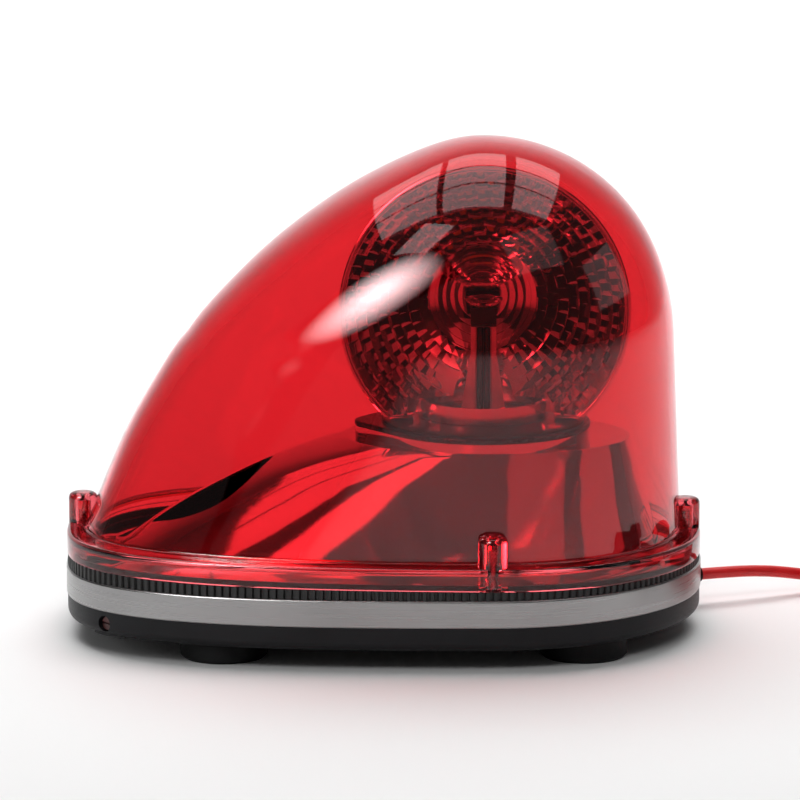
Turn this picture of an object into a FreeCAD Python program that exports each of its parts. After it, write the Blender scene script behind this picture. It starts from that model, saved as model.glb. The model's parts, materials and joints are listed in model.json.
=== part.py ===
import FreeCAD, Part
import math
import os

# Streamlined magnet-mount rotating beacon. Millimetres.
# +X points to the rear (the lead's side), -X to the nose, +Z up.
# The origin is the middle of the object's footprint, on the surface that its feet stand on.

# ---------------------------------------------------------------- driving dimensions
REAR = 82.9            # footprint, from the plan centre back to the rear
NOSE = 162.1           # footprint, from the plan centre forward to the nose
HALF_W = 81.0          # half the footprint's width
NOSE_POW = 2.93        # bluntness of the nose along X
SIDE_POW = 3.0         # and across Y
PX = (NOSE - REAR) / 2  # the plan centre, from the origin
AX = PX - 1.4          # the rotor's axis, which is the dome's axis too

Z_FEET = 8.0           # underside of the housing: the height of the magnet feet
Z_BAND = 17.0          # lower edge of the trim band
Z_RIM = 27.6           # upper edge of the trim band and of the housing
Z_SEAL = 30.87         # upper face of the ribbed seal, at the plan centre
Z_FLANGE = 39.6        # upper face of the lens flange, at the plan centre
LENS_TILT = 0.516      # degrees, nose up: the lens sits on a slightly wedged seal
LENS_T = 2.5           # wall of the lens
BOSS_R, BOSS_TOP = 5.55, 51.2

# Lens: height, rear radius and nose length of each ring, from the flange to the top.
LENS_RINGS = [
    (40.00, 76.08, 153.68), (52.75, 75.59, 148.50), (65.49, 75.10, 143.26), (78.24, 74.60, 137.46),
    (90.99, 74.11, 130.42), (103.73, 73.62, 122.72), (116.48, 73.12, 113.21), (126.87, 72.41, 105.52),
    (137.05, 70.29, 96.05), (146.83, 66.80, 85.84), (156.02, 62.01, 74.72), (164.44, 56.02, 63.20),
    (171.93, 48.93, 51.63), (178.34, 40.89, 40.02), (183.54, 32.06, 29.07), (187.44, 22.60, 19.36),
    (189.72, 13.95, 11.74), (190.75, 7.01, 5.91),
]
LENS_TOP = 191.09
LENS_SIDE = 0.9445     # half width of each ring, as a share of its rear radius

# Shroud: height, nose length, rear radius, half width of each ring.
SHROUD_RINGS = [
    (29.6, 146.0, 70.0, 68.4), (36.0, 135.2, 68.0, 63.8), (41.3, 127.4, 66.3, 60.6), (48.0, 116.8, 64.2, 56.6),
    (54.0, 106.0, 62.2, 53.0), (60.0, 94.4, 60.4, 49.4), (65.8, 82.3, 58.9, 46.0), (70.5, 70.3, 57.6, 43.2),
    (73.6, 60.6, 56.9, 41.4), (75.5, 53.6, 56.5, 40.3),
]
SHROUD_T = 2.0

TEETH_RING, TEETH_PIN, MODULE = 58, 9, 1.2
GEAR_R, PIN_R = TEETH_RING * MODULE / 2, TEETH_PIN * MODULE / 2
MOTOR_X = -(GEAR_R + PIN_R)   # the pinion's axis, from the rotor's

DISH_R, DISH_F, DISH_Z = 54.6, 19.3, 126.3   # reflector: rim radius, focal length, height of its axis
DISH_T, DISH_CUT = 1.8, 86.0                 # its wall, and the height where it is cut off below
POST_R = 10.0                                # fixed tube that the rotor turns on

FEET = [(-100.2, -51.0), (-100.2, 51.0), (36.0, -50.0), (36.0, 50.0)]   # from the plan centre
BOLTS = [(-156.0, 0.0), (76.85, 0.0), (1.2, -75.0), (1.2, 75.0)]

CORD_D = 4.6           # the lead's diameter
CORD_ANG = 22.0        # its heading where it leaves the housing, degrees from +X towards +Y
CORD_Z = 12.1
COIL_C = (210.0, 40.0)   # middle of the coil, from the origin
COIL_R = 27.6            # mean radius of its turns: four side by side, four high
COIL_IN, COIL_OUT, COIL_H = 18.1, 37.2, 19.4

V = FreeCAD.Vector
os.makedirs("parts", exist_ok=True)
WRITTEN = []


def put(name, *shapes):
    """Writes one node: one solid, or a group of separate solids."""
    solids = [s for shape in shapes for s in shape.Solids]
    out = solids[0] if len(solids) == 1 else Part.makeCompound(solids)
    bad = [s for s in solids if not s.isValid() or s.Volume <= 0]
    out.exportStep("parts/%s.step" % name)
    b = out.BoundBox
    WRITTEN.append(name)
    print("%-20s %2d solid(s) %9.1f mm3  x %7.1f %7.1f  y %7.1f %7.1f  z %6.1f %6.1f%s" % (
        name, len(solids), sum(s.Volume for s in solids), b.XMin, b.XMax, b.YMin, b.YMax, b.ZMin, b.ZMax,
        "  INVALID" if bad else ""))


def one(shape):
    """The shape's largest solid."""
    return max(shape.Solids, key=lambda s: s.Volume)


def cyl(x, y, z0, z1, r, r_in=0.0):
    c = Part.makeCylinder(r, z1 - z0, V(x, y, z0))
    return c.cut(Part.makeCylinder(r_in, z1 - z0 + 2, V(x, y, z0 - 1))) if r_in else c


def box(x0, x1, y0, y1, z0, z1):
    return Part.makeBox(x1 - x0, y1 - y0, z1 - z0, V(x0, y0, z0))


def turned(profile, base, axis, side):
    """Turns a closed profile of (radius, distance along the axis) about the axis. side is a unit vector across it."""
    pts = [V(*base) + V(*side) * r + V(*axis) * h for r, h in profile]
    face = Part.Face(Part.makePolygon(pts + [pts[0]]))
    return face.revolve(V(*base), V(*axis), 360)


def fuse(first, *more):
    return first.multiFuse(list(more)).removeSplitter() if more else first


def cut(shape, *tools):
    return shape.cut(Part.makeCompound(list(tools)))


# ---------------------------------------------------------------- the footprint
def plan_point(phi):
    c, s = math.cos(phi), math.sin(phi)
    if c >= 0:
        r = 1 / math.sqrt((c / REAR) ** 2 + (s / HALF_W) ** 2)
    else:
        lo, hi = 60.0, 200.0
        for _ in range(60):
            r = (lo + hi) / 2
            if (r * abs(c) / NOSE) ** NOSE_POW + (r * abs(s) / HALF_W) ** SIDE_POW > 1:
                hi = r
            else:
                lo = r
    return r * c, r * s


def plan_offset(phi, inset):
    e = 1e-3
    (x0, y0), (x1, y1), (x, y) = plan_point(phi - e), plan_point(phi + e), plan_point(phi)
    tx, ty = x1 - x0, y1 - y0
    n = math.hypot(tx, ty)
    return PX + x - ty / n * inset, y + tx / n * inset


def ring_wire(points):
    b = Part.BSplineCurve()
    b.interpolate(Points=points, PeriodicFlag=True)
    return Part.Wire([b.toShape()])


def plan_wire(inset, z, n=60):
    return ring_wire([V(*plan_offset(2 * math.pi * i / n, inset), z) for i in range(n)])


def prism(inset, z0, z1):
    """The footprint, drawn in by inset, from z0 to z1."""
    return Part.Face(plan_wire(inset, z0)).extrude(V(0, 0, z1 - z0))


def leaned(shape):
    """Leans a shape nose up by the lens's tilt."""
    s = shape.copy()
    s.rotate(V(PX, 0, 35), V(0, 1, 0), LENS_TILT)
    return s


# ---------------------------------------------------------------- magnet feet
boots, cups, mags, screws, nuts = [], [], [], [], []
for fx, fy in FEET:
    x, y = PX + fx, fy
    b = cyl(x, y, 0, 7.9, 16.5)
    b = b.makeChamfer(1.2, [e for e in b.Edges if e.BoundBox.ZMax < 0.1 and e.BoundBox.XLength > 5])
    b = cut(b, cyl(x, y, 1.0, 9, 15.0))
    boots.append(b)
    cups.append(cut(cyl(x, y, 1.0, 8.0, 14.95), cyl(x, y, 0.5, 6.0, 13.4), cyl(x, y, 5, 9, 2.1)))
    mags.append(cyl(x, y, 1.1, 5.95, 13.3, 5.2))
    screws.append(fuse(cyl(x, y, 3.4, 6.0, 3.8), cyl(x, y, 5.9, 16.4, 1.95)))
    screws[-1] = cut(screws[-1], Part.Face(Part.makePolygon([V(x + 1.45 * math.cos(math.radians(60 * k)), y + 1.45 * math.sin(math.radians(60 * k)), 3.3) for k in range(7)])).extrude(V(0, 0, 1.8)))
    hexa = Part.Face(Part.makePolygon([V(x + 4.04 * math.cos(math.radians(60 * k)), y + 4.04 * math.sin(math.radians(60 * k)), 11.05) for k in range(7)])).extrude(V(0, 0, 3.2))
    nuts.append(cut(hexa, cyl(x, y, 10, 16, 2.0)))
put("magnet_boots", *boots)
put("magnet_cups", *cups)
put("magnet_rings", *mags)
put("magnet_screws", *screws)
put("magnet_nuts", *nuts)

# ---------------------------------------------------------------- lower housing
low = prism(0.4, Z_FEET, Z_BAND)
low = low.makeFillet(3.2, [e for e in low.Edges if abs(e.BoundBox.ZMin - Z_FEET) < 0.05 and e.BoundBox.ZLength < 0.05 and e.BoundBox.XLength > 100])
upper = prism(1.25, Z_BAND - 1, Z_RIM)
hollow = prism(3.8, 9.7, Z_RIM + 1)
# a pad under the nose's near corner, around the side screw
pad = cut(prism(2.6, 7.2, 9.0), prism(9.0, 6, 12)).common(box(PX - 149.5, PX - 137.3, -70, -38, 7, 9))
tub = fuse(low, upper, *pad.Solids)
tub = cut(tub, hollow)
pillars = [cyl(PX + x, y, 9.0, Z_RIM, 4.6) for x, y in BOLTS]
CHASSIS = [(-118.0, -32.0), (-118.0, 32.0), (52.0, -30.0), (52.0, 30.0)]
pillars += [cyl(PX + x, y, 9.0, Z_RIM, 3.6) for x, y in CHASSIS]
pillars += [cyl(PX + x, y, 9.0, 11.0, 7.0) for x, y in FEET]      # nut seats
# the side screw's pocket near the nose, square to the wall there
SP = math.atan2(-53.0, -148.0)
sx, sy = plan_offset(SP, 0.4)
ix, iy = plan_offset(SP, 10.4)
sn = V(sx - ix, sy - iy, 0).normalize()
pocket_boss = Part.makeCylinder(4.4, 9.0, V(sx, sy, 12.3) - sn * 10.5, sn)
tub = fuse(tub, *pillars, pocket_boss.common(prism(0.6, 8.2, Z_BAND)))
holes = [cyl(PX + x, y, 7, 29, 2.15) for x, y in BOLTS] + [cyl(PX + x, y, 7, 12.2, 3.8) for x, y in BOLTS]
holes += [cyl(PX + x, y, 14, 29, 1.3) for x, y in CHASSIS]
holes += [cyl(PX + x, y, 7, 12, 2.1) for x, y in FEET]
holes += [Part.makeCylinder(3.1, 6.0, V(sx, sy, 12.3) - sn * 3.4, sn), Part.makeCylinder(1.25, 12.0, V(sx, sy, 12.3) - sn * 11.0, sn)]
ca, sa = math.cos(math.radians(CORD_ANG)), math.sin(math.radians(CORD_ANG))
cd = V(ca, sa, 0)
C0 = V(PX, 0, CORD_Z)
holes += [Part.makeCylinder(3.15, 12.0, C0 + cd * 74, cd)]
# drain holes in the floor
holes += [cyl(PX + x, y, 7, 12, 1.8) for x, y in ((-30.0, -60.0), (-30.0, 60.0))]
housing = one(cut(tub, *holes))
put("lower_housing", housing)

sscrew = fuse(Part.makeCylinder(2.6, 1.8, V(sx, sy, 12.3) - sn * 3.38, sn), Part.makeCylinder(1.2, 7.2, V(sx, sy, 12.3) - sn * 10.1, sn))
slot = Part.makeBox(0.7, 5.8, 1.0, V(-0.35, -2.9, -0.5))
slot.rotate(V(0, 0, 0), V(0, 1, 0), 90)
slot.rotate(V(0, 0, 0), V(0, 0, 1), math.degrees(math.atan2(sn.y, sn.x)))
slot.translate(V(sx, sy, 12.3) - sn * 1.9)
put("side_screw", one(sscrew.cut(slot)))

# ---------------------------------------------------------------- trim band
band = prism(0.0, Z_BAND, Z_RIM)
band = band.makeFillet(0.7, [e for e in band.Edges if e.BoundBox.ZLength < 0.05 and e.BoundBox.XLength > 100])
band = cut(band, prism(1.2, Z_BAND - 1, Z_RIM + 1))
# the joint of the band's two ends, at the rear: a narrow gap
band = cut(band, box(PX + 78, PX + 90, 9.4, 9.8, Z_BAND - 1, Z_RIM + 1))
put("trim_band", one(band))

# ---------------------------------------------------------------- ribbed seal
RIBS = 226


def arc_points(inset, n):
    """n points evenly spaced along the footprint drawn in by inset."""
    fine = [plan_offset(2 * math.pi * i / 1440, inset) for i in range(1441)]
    along = [0.0]
    for a, b in zip(fine, fine[1:]):
        along.append(along[-1] + math.hypot(b[0] - a[0], b[1] - a[1]))
    out, j = [], 0
    for i in range(n):
        d = along[-1] * i / n
        while along[j + 1] < d:
            j += 1
        t = (d - along[j]) / (along[j + 1] - along[j])
        out.append((fine[j][0] + t * (fine[j + 1][0] - fine[j][0]), fine[j][1] + t * (fine[j + 1][1] - fine[j][1])))
    return out


crown, root = arc_points(0.55, RIBS * 20), arc_points(1.5, RIBS * 20)
pts = []
for k in range(RIBS):
    a = 20 * k
    pts += [root[a], root[a + 7], crown[a + 9], crown[(a + 18) % len(crown)]]
teeth = [V(x, y, Z_RIM) for x, y in pts]
seal = Part.Face(Part.makePolygon(teeth + [teeth[0]])).extrude(V(0, 0, 10))
above = leaned(box(PX - 200, PX + 120, -100, 100, Z_SEAL, 60))
seal = seal.cut(above)
lip = cut(prism(3.5, Z_RIM, 40), prism(5.2, Z_RIM - 1, 41))
lip = lip.cut(leaned(box(PX - 200, PX + 120, -100, 100, Z_SEAL + 2.2, 60)))
seal = cut(seal, prism(8.0, Z_RIM - 1, 45))
seal = fuse(seal, lip)
seal = cut(seal, *[cyl(PX + x, y, Z_RIM - 1, 34, 2.15) for x, y in BOLTS], *[leaned(cyl(PX + x, y, Z_SEAL, 45, BOSS_R + 0.3)) for x, y in BOLTS])
put("ribbed_seal", one(seal))

# ---------------------------------------------------------------- chassis plate
plate = prism(8.6, Z_RIM, Z_RIM + 2.0)
PILLARS = [(30.5, 0.0), (-9.5, 29.0), (-9.5, -29.0)]      # drive case legs, from the rotor's axis
BOARD = (-98.0, 0.0)                                       # middle of the driver board, from the plan centre
STAND = [(BOARD[0] + dx, BOARD[1] + dy) for dx in (-21.0, 21.0) for dy in (-15.0, 15.0)]
SHROUD_PEGS = [(-27.0, 69.5), (-27.0, -69.5), (18.5, 67.3), (18.5, -67.3)]
tools = [cyl(PX + x, y, 26, 31, 6.2) for x, y in BOLTS]
tools += [cyl(PX + x, y, 26, 31, 1.7) for x, y in CHASSIS]
tools += [cyl(AX + x, y, 26, 31, 1.7) for x, y in PILLARS]
tools += [cyl(PX + x, y, 26, 31, 1.3) for x, y in STAND]
tools += [cyl(PX + x, y, 26, 31, 1.25) for x, y in SHROUD_PEGS]
tools += [cyl(PX + 10, 18, 26, 31, 5.0), cyl(AX, 0, 26, 31, 8.0)]
put("chassis_plate", one(cut(plate, *tools)))
heads = [fuse(cyl(PX + x, y, Z_RIM + 2.05, Z_RIM + 4.2, 2.8), cyl(PX + x, y, 16, Z_RIM + 3, 1.25)) for x, y in CHASSIS]
heads = [cut(h, box(PX + x - 0.4, PX + x + 0.4, y - 2, y + 2, Z_RIM + 3.3, Z_RIM + 5)) for h, (x, y) in zip(heads, CHASSIS)]
put("chassis_screws", *heads)
legs = [fuse(cyl(AX + x, y, Z_RIM - 2.3, Z_RIM - 0.05, 2.8), cyl(AX + x, y, Z_RIM - 1, 38, 1.25)) for x, y in PILLARS]
put("case_screws", *legs)

# ---------------------------------------------------------------- lens
RINGS = LENS_RINGS


def lens_point(i, phi):
    z, rear, nose = RINGS[i]
    share = min(1.0, (z - RINGS[0][0]) / (116.48 - RINGS[0][0]))
    n = 2.1 + 0.6 * (1.0 - max(0.0, share)) ** 1.5
    half = rear * LENS_SIDE
    c, s = math.cos(phi), math.sin(phi)
    if c >= 0:
        r = 1 / math.sqrt((c / rear) ** 2 + (s / half) ** 2)
    else:
        r = ((abs(c) / nose) ** n + (abs(s) / half) ** n) ** (-1 / n)
    return V(AX + r * c, r * s, z)


def lens_inner(i, phi):
    """The point LENS_T inside the outer surface."""
    e = 1e-3
    around = lens_point(i, phi + e) - lens_point(i, phi - e)
    if i + 1 < len(RINGS):
        up = lens_point(min(i + 1, len(RINGS) - 1), phi) - lens_point(max(i - 1, 0), phi)
    else:
        up = V(AX, 0, LENS_TOP) - lens_point(i - 1, phi)
    n = around.cross(up).normalize()
    return lens_point(i, phi) - n * LENS_T


N = 48
phis = [2 * math.pi * k / N for k in range(N)]
outer_rings = [ring_wire([lens_point(i, p) for p in phis]) for i in range(len(RINGS))]
inner_rings = [ring_wire([lens_inner(i, p) for p in phis]) for i in range(len(RINGS) - 1)]
# straight continuation below the first ring, to cut through the flange
drop_in = ring_wire([V(lens_inner(0, p).x, lens_inner(0, p).y, 27.0) for p in phis])
flat_in = ring_wire([V(lens_inner(0, p).x, lens_inner(0, p).y, 38.0) for p in phis])
drop_out = ring_wire([V(lens_point(0, p).x, lens_point(0, p).y, 37.6) for p in phis])
dome_out = Part.makeLoft([drop_out] + outer_rings + [Part.Vertex(V(AX, 0, LENS_TOP))], True, False)
dome_in = Part.makeLoft([flat_in] + inner_rings + [Part.Vertex(V(AX, 0, LENS_TOP - LENS_T))], True, False)
skirt = prism(0.3, Z_SEAL, Z_FLANGE)
skirt = skirt.makeFillet(1.3, [e for e in skirt.Edges if abs(e.BoundBox.ZMax - Z_FLANGE) < 0.05 and e.BoundBox.ZLength < 0.05 and e.BoundBox.XLength > 100])
skirt = leaned(skirt)
under = leaned(prism(3.3, Z_SEAL - 3, Z_FLANGE - 3.0))
drop = Part.makeLoft([drop_in, flat_in], True, True)
bosses = []
for x, y in BOLTS:
    b = cyl(PX + x, y, Z_SEAL, BOSS_TOP, BOSS_R)
    b = b.makeFillet(1.7, [e for e in b.Edges if abs(e.BoundBox.ZMin - BOSS_TOP) < 0.05])
    bosses.append(leaned(b))
lens = skirt.fuse(dome_out)
lens = lens.cut(under).cut(dome_in).cut(drop)
# the bosses stay outside the dome's cavity
studs = [b.cut(dome_in).cut(drop) for b in bosses]
lens = lens.multiFuse([one(s) for s in studs])
tools = [leaned(cyl(PX + x, y, Z_SEAL - 1, BOSS_TOP - 3.0, 2.0)) for x, y in BOLTS]
# drain notches in the skirt's lower edge, one beside each side boss
tools += [leaned(box(PX - 1.6, PX + 4.2, -90, -76.5, Z_SEAL - 1, Z_SEAL + 1.3)), leaned(box(PX - 1.6, PX + 4.2, 76.5, 90, Z_SEAL - 1, Z_SEAL + 1.3))]
lens = one(cut(lens, *tools))
put("lens_cover", lens)

# lens screws, up through the housing and the seal into the bosses
bolts = []
for x, y in BOLTS:
    s = fuse(cyl(PX + x, y, 9.2, 12.15, 3.6), cyl(PX + x, y, 12, 45.5, 1.8))
    cross = fuse(box(PX + x - 2, PX + x + 2, y - 0.4, y + 0.4, 9, 10.6), box(PX + x - 0.4, PX + x + 0.4, y - 2, y + 2, 9, 10.6))
    bolts.append(one(s.cut(cross)))
put("lens_screws", *bolts)


# ---------------------------------------------------------------- drive: case, gears, motor
def egg(r_big, r_small, z0, z1):
    """A prism round the ring gear and the pinion: two circles and their tangents."""
    s = (r_big - r_small) / -MOTOR_X
    c = math.sqrt(1 - s * s)
    a, b = V(AX - r_big * s, r_big * c, z0), V(AX - r_big * s, -r_big * c, z0)
    d, e = V(AX + MOTOR_X - r_small * s, -r_small * c, z0), V(AX + MOTOR_X - r_small * s, r_small * c, z0)
    w = Part.Wire([
        Part.Arc(a, V(AX + r_big, 0, z0), b).toShape(), Part.LineSegment(b, d).toShape(),
        Part.Arc(d, V(AX + MOTOR_X - r_small, 0, z0), e).toShape(), Part.LineSegment(e, a).toShape()])
    return Part.Face(w).extrude(V(0, 0, z1 - z0))


case = egg(39.0, 7.7, 65.0, 79.3)
case = cut(case, egg(37.4, 7.0, 67.0, 80.0))
case = fuse(case, *[cyl(AX + x, y, Z_RIM + 2.0, 65.5, 3.8) for x, y in PILLARS])
case = cut(case, *[cyl(AX + x, y, 29, 40, 1.3) for x, y in PILLARS], cyl(AX + MOTOR_X, 0, 64, 68, 3.2), cyl(AX, 0, 64, 68, 7.6),
           *[cyl(AX + MOTOR_X + 0.0, dy, 64, 68, 1.3) for dy in (-5.0, 5.0)])
put("drive_case", one(case))
lid = egg(41.2, 9.3, 79.6, 81.2)
lid = lid.makeFillet(0.6, [e for e in lid.Edges if abs(e.BoundBox.ZMin - 81.2) < 0.05 and e.BoundBox.ZLength < 0.05])
lid = fuse(lid, cut(egg(37.2, 6.8, 78.4, 79.8), egg(36.0, 5.6, 78, 80)))
lid = cut(lid, cyl(AX, 0, 78, 82, 23.4))
put("drive_case_lid", one(lid))


def gear_face(teeth, m, add, ded, z, start, back=0.07):
    """An involute gear's outline. back is the backlash on each side, in mm at the pitch circle."""
    rp, rb = m * teeth / 2, m * teeth / 2 * math.cos(math.radians(20))
    ra, rr = rp + add, rp - ded
    inv = lambda r: (math.tan(math.acos(min(1.0, rb / r))) - math.acos(min(1.0, rb / r)))
    half = math.pi / (2 * teeth) - back / rp + inv(rp)
    low = max(rb, rr) + 1e-4
    radii = [low + (ra - low) * k / 4 for k in range(5)]
    out = []
    for k in range(teeth):
        a = start + 2 * math.pi * k / teeth
        side = [(half - inv(r), r) for r in radii]
        row = [(-half - 0.0, rr)] if rr < rb - 1e-3 else []
        row += [(-t, r) for t, r in side] + [(t, r) for t, r in reversed(side)]
        row += [(half, rr)] if rr < rb - 1e-3 else []
        out += [V(r * math.cos(a + t), r * math.sin(a + t), z) for t, r in row]
    return Part.Face(Part.makePolygon(out + [out[0]]))


# a tooth of the ring gear points at the pinion, and a gap of the pinion at the ring gear
ring = gear_face(TEETH_RING, MODULE, 0.6, 1.35, 70.0, math.pi).extrude(V(0, 0, 6.0))
ring.translate(V(AX, 0, 0))
ring = cut(ring, cyl(AX, 0, 72.4, 77, 31.0), cyl(AX, 0, 69, 77, 12.5))
hub = cyl(AX, 0, 69.7, 78.0, 15.2, 12.5)
carrier = cyl(AX, 0, 72.0, 81.6, 22.6, 18.6)
spokes = [cyl(AX + 26.6 * math.cos(math.radians(a)), 26.6 * math.sin(math.radians(a)), 69, 74, 2.6) for a in range(0, 360, 45)]
ring = cut(fuse(ring, hub, carrier), *spokes, *[cyl(AX + 20.6 * math.cos(math.radians(a)), 20.6 * math.sin(math.radians(a)), 76, 82, 0.95) for a in (30, 150, 270)])
put("ring_gear", one(ring))
put("hub_bush", cyl(AX, 0, 69.6, 78.2, 12.5, POST_R + 0.05))
pin = gear_face(TEETH_PIN, MODULE, 1.15, 0.75, 68.2, math.pi / TEETH_PIN).extrude(V(0, 0, 8.6))
pin.translate(V(AX + MOTOR_X, 0, 0))
pin = cut(pin, cyl(AX + MOTOR_X, 0, 68, 78, 1.5))
put("drive_pinion", one(pin))
put("motor_shaft", fuse(cyl(AX + MOTOR_X, 0, 60.0, 77.4, 1.5), cyl(AX + MOTOR_X, 0, 50.0, 60.0, 2.4), cyl(AX + MOTOR_X, 0, 33.5, 50.0, 1.5)))
can = cyl(AX + MOTOR_X, 0, 37.0, 64.9, 12.1)
can = can.makeFillet(1.2, [e for e in can.Edges if abs(e.BoundBox.ZMin - 64.9) < 0.05])
can = cut(can, cyl(AX + MOTOR_X, 0, 36, 62.5, 11.0), cyl(AX + MOTOR_X, 0, 60, 66, 1.56), *[cyl(AX + MOTOR_X, dy, 62, 66, 1.0) for dy in (-5.0, 5.0)])
put("motor_can", one(can))
put("motor_magnets", *[m for m in cut(cyl(AX + MOTOR_X, 0, 39.0, 60.0, 10.9, 8.6), box(AX + MOTOR_X - 20, AX + MOTOR_X + 20, -2, 2, 38, 61)).Solids])
arm = cyl(AX + MOTOR_X, 0, 41.0, 58.0, 7.8, 2.45)
arm = cut(arm, *[box(AX + MOTOR_X - 0.8, AX + MOTOR_X + 0.8, 4.6, 9, 40, 59)])
gap = [box(AX + MOTOR_X - 0.8, AX + MOTOR_X + 0.8, 4.6, 9, 40, 59) for _ in range(2)]
for k, g in enumerate(gap):
    g.rotate(V(AX + MOTOR_X, 0, 0), V(0, 0, 1), 120 * (k + 1))
arm = cut(arm, *gap)
core = cyl(AX + MOTOR_X, 0, 50.0, 58.0, 7.8)
put("motor_armature", one(cut(arm, cyl(AX + MOTOR_X, 0, 40, 50.05, 4.0))))
bell = cyl(AX + MOTOR_X, 0, 33.0, 36.95, 12.1)
bell = fuse(bell, cyl(AX + MOTOR_X, 0, 36.9, 39.0 - 0.2, 10.9, 8.0), box(AX + MOTOR_X - 1.0, AX + MOTOR_X + 1.0, 8.2, 9.0, 30.6, 33.5), box(AX + MOTOR_X - 1.0, AX + MOTOR_X + 1.0, -9.0, -8.2, 30.6, 33.5))
bell = cut(bell, cyl(AX + MOTOR_X, 0, 32, 40, 1.56))
put("motor_end_bell", one(bell))
put("motor_screws", *[fuse(cyl(AX + MOTOR_X, dy, 67.05, 68.0, 1.7), cyl(AX + MOTOR_X, dy, 63.0, 67.5, 0.95)) for dy in (-5.0, 5.0)])

# ---------------------------------------------------------------- rotor: turntable, reflector
table = cyl(AX, 0, 81.65, 83.2, 39.0, 18.6)
table = table.makeFillet(0.5, [e for e in table.Edges if abs(e.BoundBox.ZMin - 83.2) < 0.05 and e.BoundBox.XLength > 60])
table = fuse(table, cyl(AX, 0, 83.0, 90.0, 25.0, 23.2))
table = cut(table, *[cyl(AX + 20.6 * math.cos(math.radians(a)), 20.6 * math.sin(math.radians(a)), 81, 84, 1.15) for a in (30, 150, 270)])
put("turntable", one(table))
put("turntable_screws", *[fuse(cyl(AX + 20.6 * math.cos(math.radians(a)), 20.6 * math.sin(math.radians(a)), 83.25, 84.6, 1.9), cyl(AX + 20.6 * math.cos(math.radians(a)), 20.6 * math.sin(math.radians(a)), 77.0, 83.5, 0.9)) for a in (30, 150, 270)])


def dish_y(r):
    return DISH_F - r * r / (4 * DISH_F)


steps = 14
inner = [(DISH_R * k / steps, -dish_y(DISH_R * k / steps)) for k in range(steps + 1)]
outer = []
for k in range(steps + 1):
    r = DISH_R * k / steps
    slope = r / (2 * DISH_F)
    n = math.hypot(1, slope)
    outer.append((r + DISH_T * slope / n, -dish_y(r) - DISH_T / n))
outer[0] = (0.0, -DISH_F - DISH_T)


def spline(rows):
    b = Part.BSplineCurve()
    b.interpolate([V(AX + r, -h, DISH_Z) for r, h in rows])
    return b.toShape()


a0, a1 = spline(inner), spline(outer)
lid_edge = Part.LineSegment(V(AX + inner[-1][0], -inner[-1][1], DISH_Z), V(AX + outer[-1][0], -outer[-1][1], DISH_Z)).toShape()
mid_edge = Part.LineSegment(V(AX, -inner[0][1], DISH_Z), V(AX, -outer[0][1], DISH_Z)).toShape()
dish = Part.Face(Part.Wire(Part.sortEdges([a0, lid_edge, a1, mid_edge])[0])).revolve(V(AX, 0, DISH_Z), V(0, 1, 0), 360)
rim_y = dish_y(DISH_R)
rimring = Part.makeCylinder(DISH_R + 0.85, 1.5, V(AX, rim_y + 0.3, DISH_Z), V(0, -1, 0)).cut(Part.makeCylinder(DISH_R - 0.35, 4, V(AX, rim_y + 1, DISH_Z), V(0, -1, 0)))
dish = fuse(one(dish), rimring)
dish = cut(dish, box(-100, 100, -60, 60, 50, DISH_CUT), cyl(AX, 0, 80, 110, 11.4), cyl(AX, 0, 80, 90.25, 25.25))
wall = []
for side in (-1, 1):
    ear = box(min(AX + side * 27.0, AX + side * 36.0), max(AX + side * 27.0, AX + side * 36.0), -24.0, -4.0, 83.25, 85.2).common(cyl(AX, 0, 80, 90, 38.4))
    web = box(min(AX + side * 29.2, AX + side * 30.7), max(AX + side * 29.2, AX + side * 30.7), -12.5, -4.0, 83.25, 90.0)
    wall += [ear, web]
dish = fuse(one(dish), *wall)
dish = cut(dish, *[cyl(AX + side * 33.4, -7.4, 82, 87, 1.2) for side in (-1, 1)])
put("reflector", one(dish))
bracket = fuse(box(AX - 8, AX + 8, 26.0, 36.0, 83.25, 85.25), box(AX - 8, AX + 8, 26.0, 28.0, 84.0, 122.0))
arm_top = Part.makeCylinder(6.0, 28.0 - (DISH_F + DISH_T) + 6.0, V(AX, 28.0, 118.0), V(0, -1, 0))
backs = turned([(0, -60.0), (0, -(DISH_F + DISH_T + 0.03)), (75, -(DISH_F + DISH_T + 0.03) + 75 * 75 / (4 * (DISH_F + DISH_T)) * 0.94), (75, -60.0)], (AX, 0, DISH_Z), (0, -1, 0), (1, 0, 0))
# the pad of the bracket follows the back of the dish
follow = Part.BSplineCurve()
follow.interpolate([V(AX + r, -h + 0.03, DISH_Z) for r, h in outer])
fe = follow.toShape()
p_end, p_mid = V(AX + outer[-1][0], -outer[-1][1] + 0.03, DISH_Z), V(AX, DISH_F + DISH_T + 0.03, DISH_Z)
closing = [Part.LineSegment(p_end, V(p_end.x, 60, DISH_Z)).toShape(), Part.LineSegment(V(p_end.x, 60, DISH_Z), V(AX, 60, DISH_Z)).toShape(), Part.LineSegment(V(AX, 60, DISH_Z), p_mid).toShape()]
behind = Part.Face(Part.Wire(Part.sortEdges([fe] + closing)[0])).revolve(V(AX, 0, DISH_Z), V(0, 1, 0), 360)
arm_top = one(arm_top.common(one(behind)))
bracket = fuse(bracket, arm_top)
bracket = cut(bracket, Part.makeCylinder(1.3, 30, V(AX, 40, 118.0), V(0, -1, 0)), *[cyl(AX + dx, 32.0, 82, 87, 1.3) for dx in (-5.0, 5.0)])
put("reflector_bracket", one(bracket))
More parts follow.
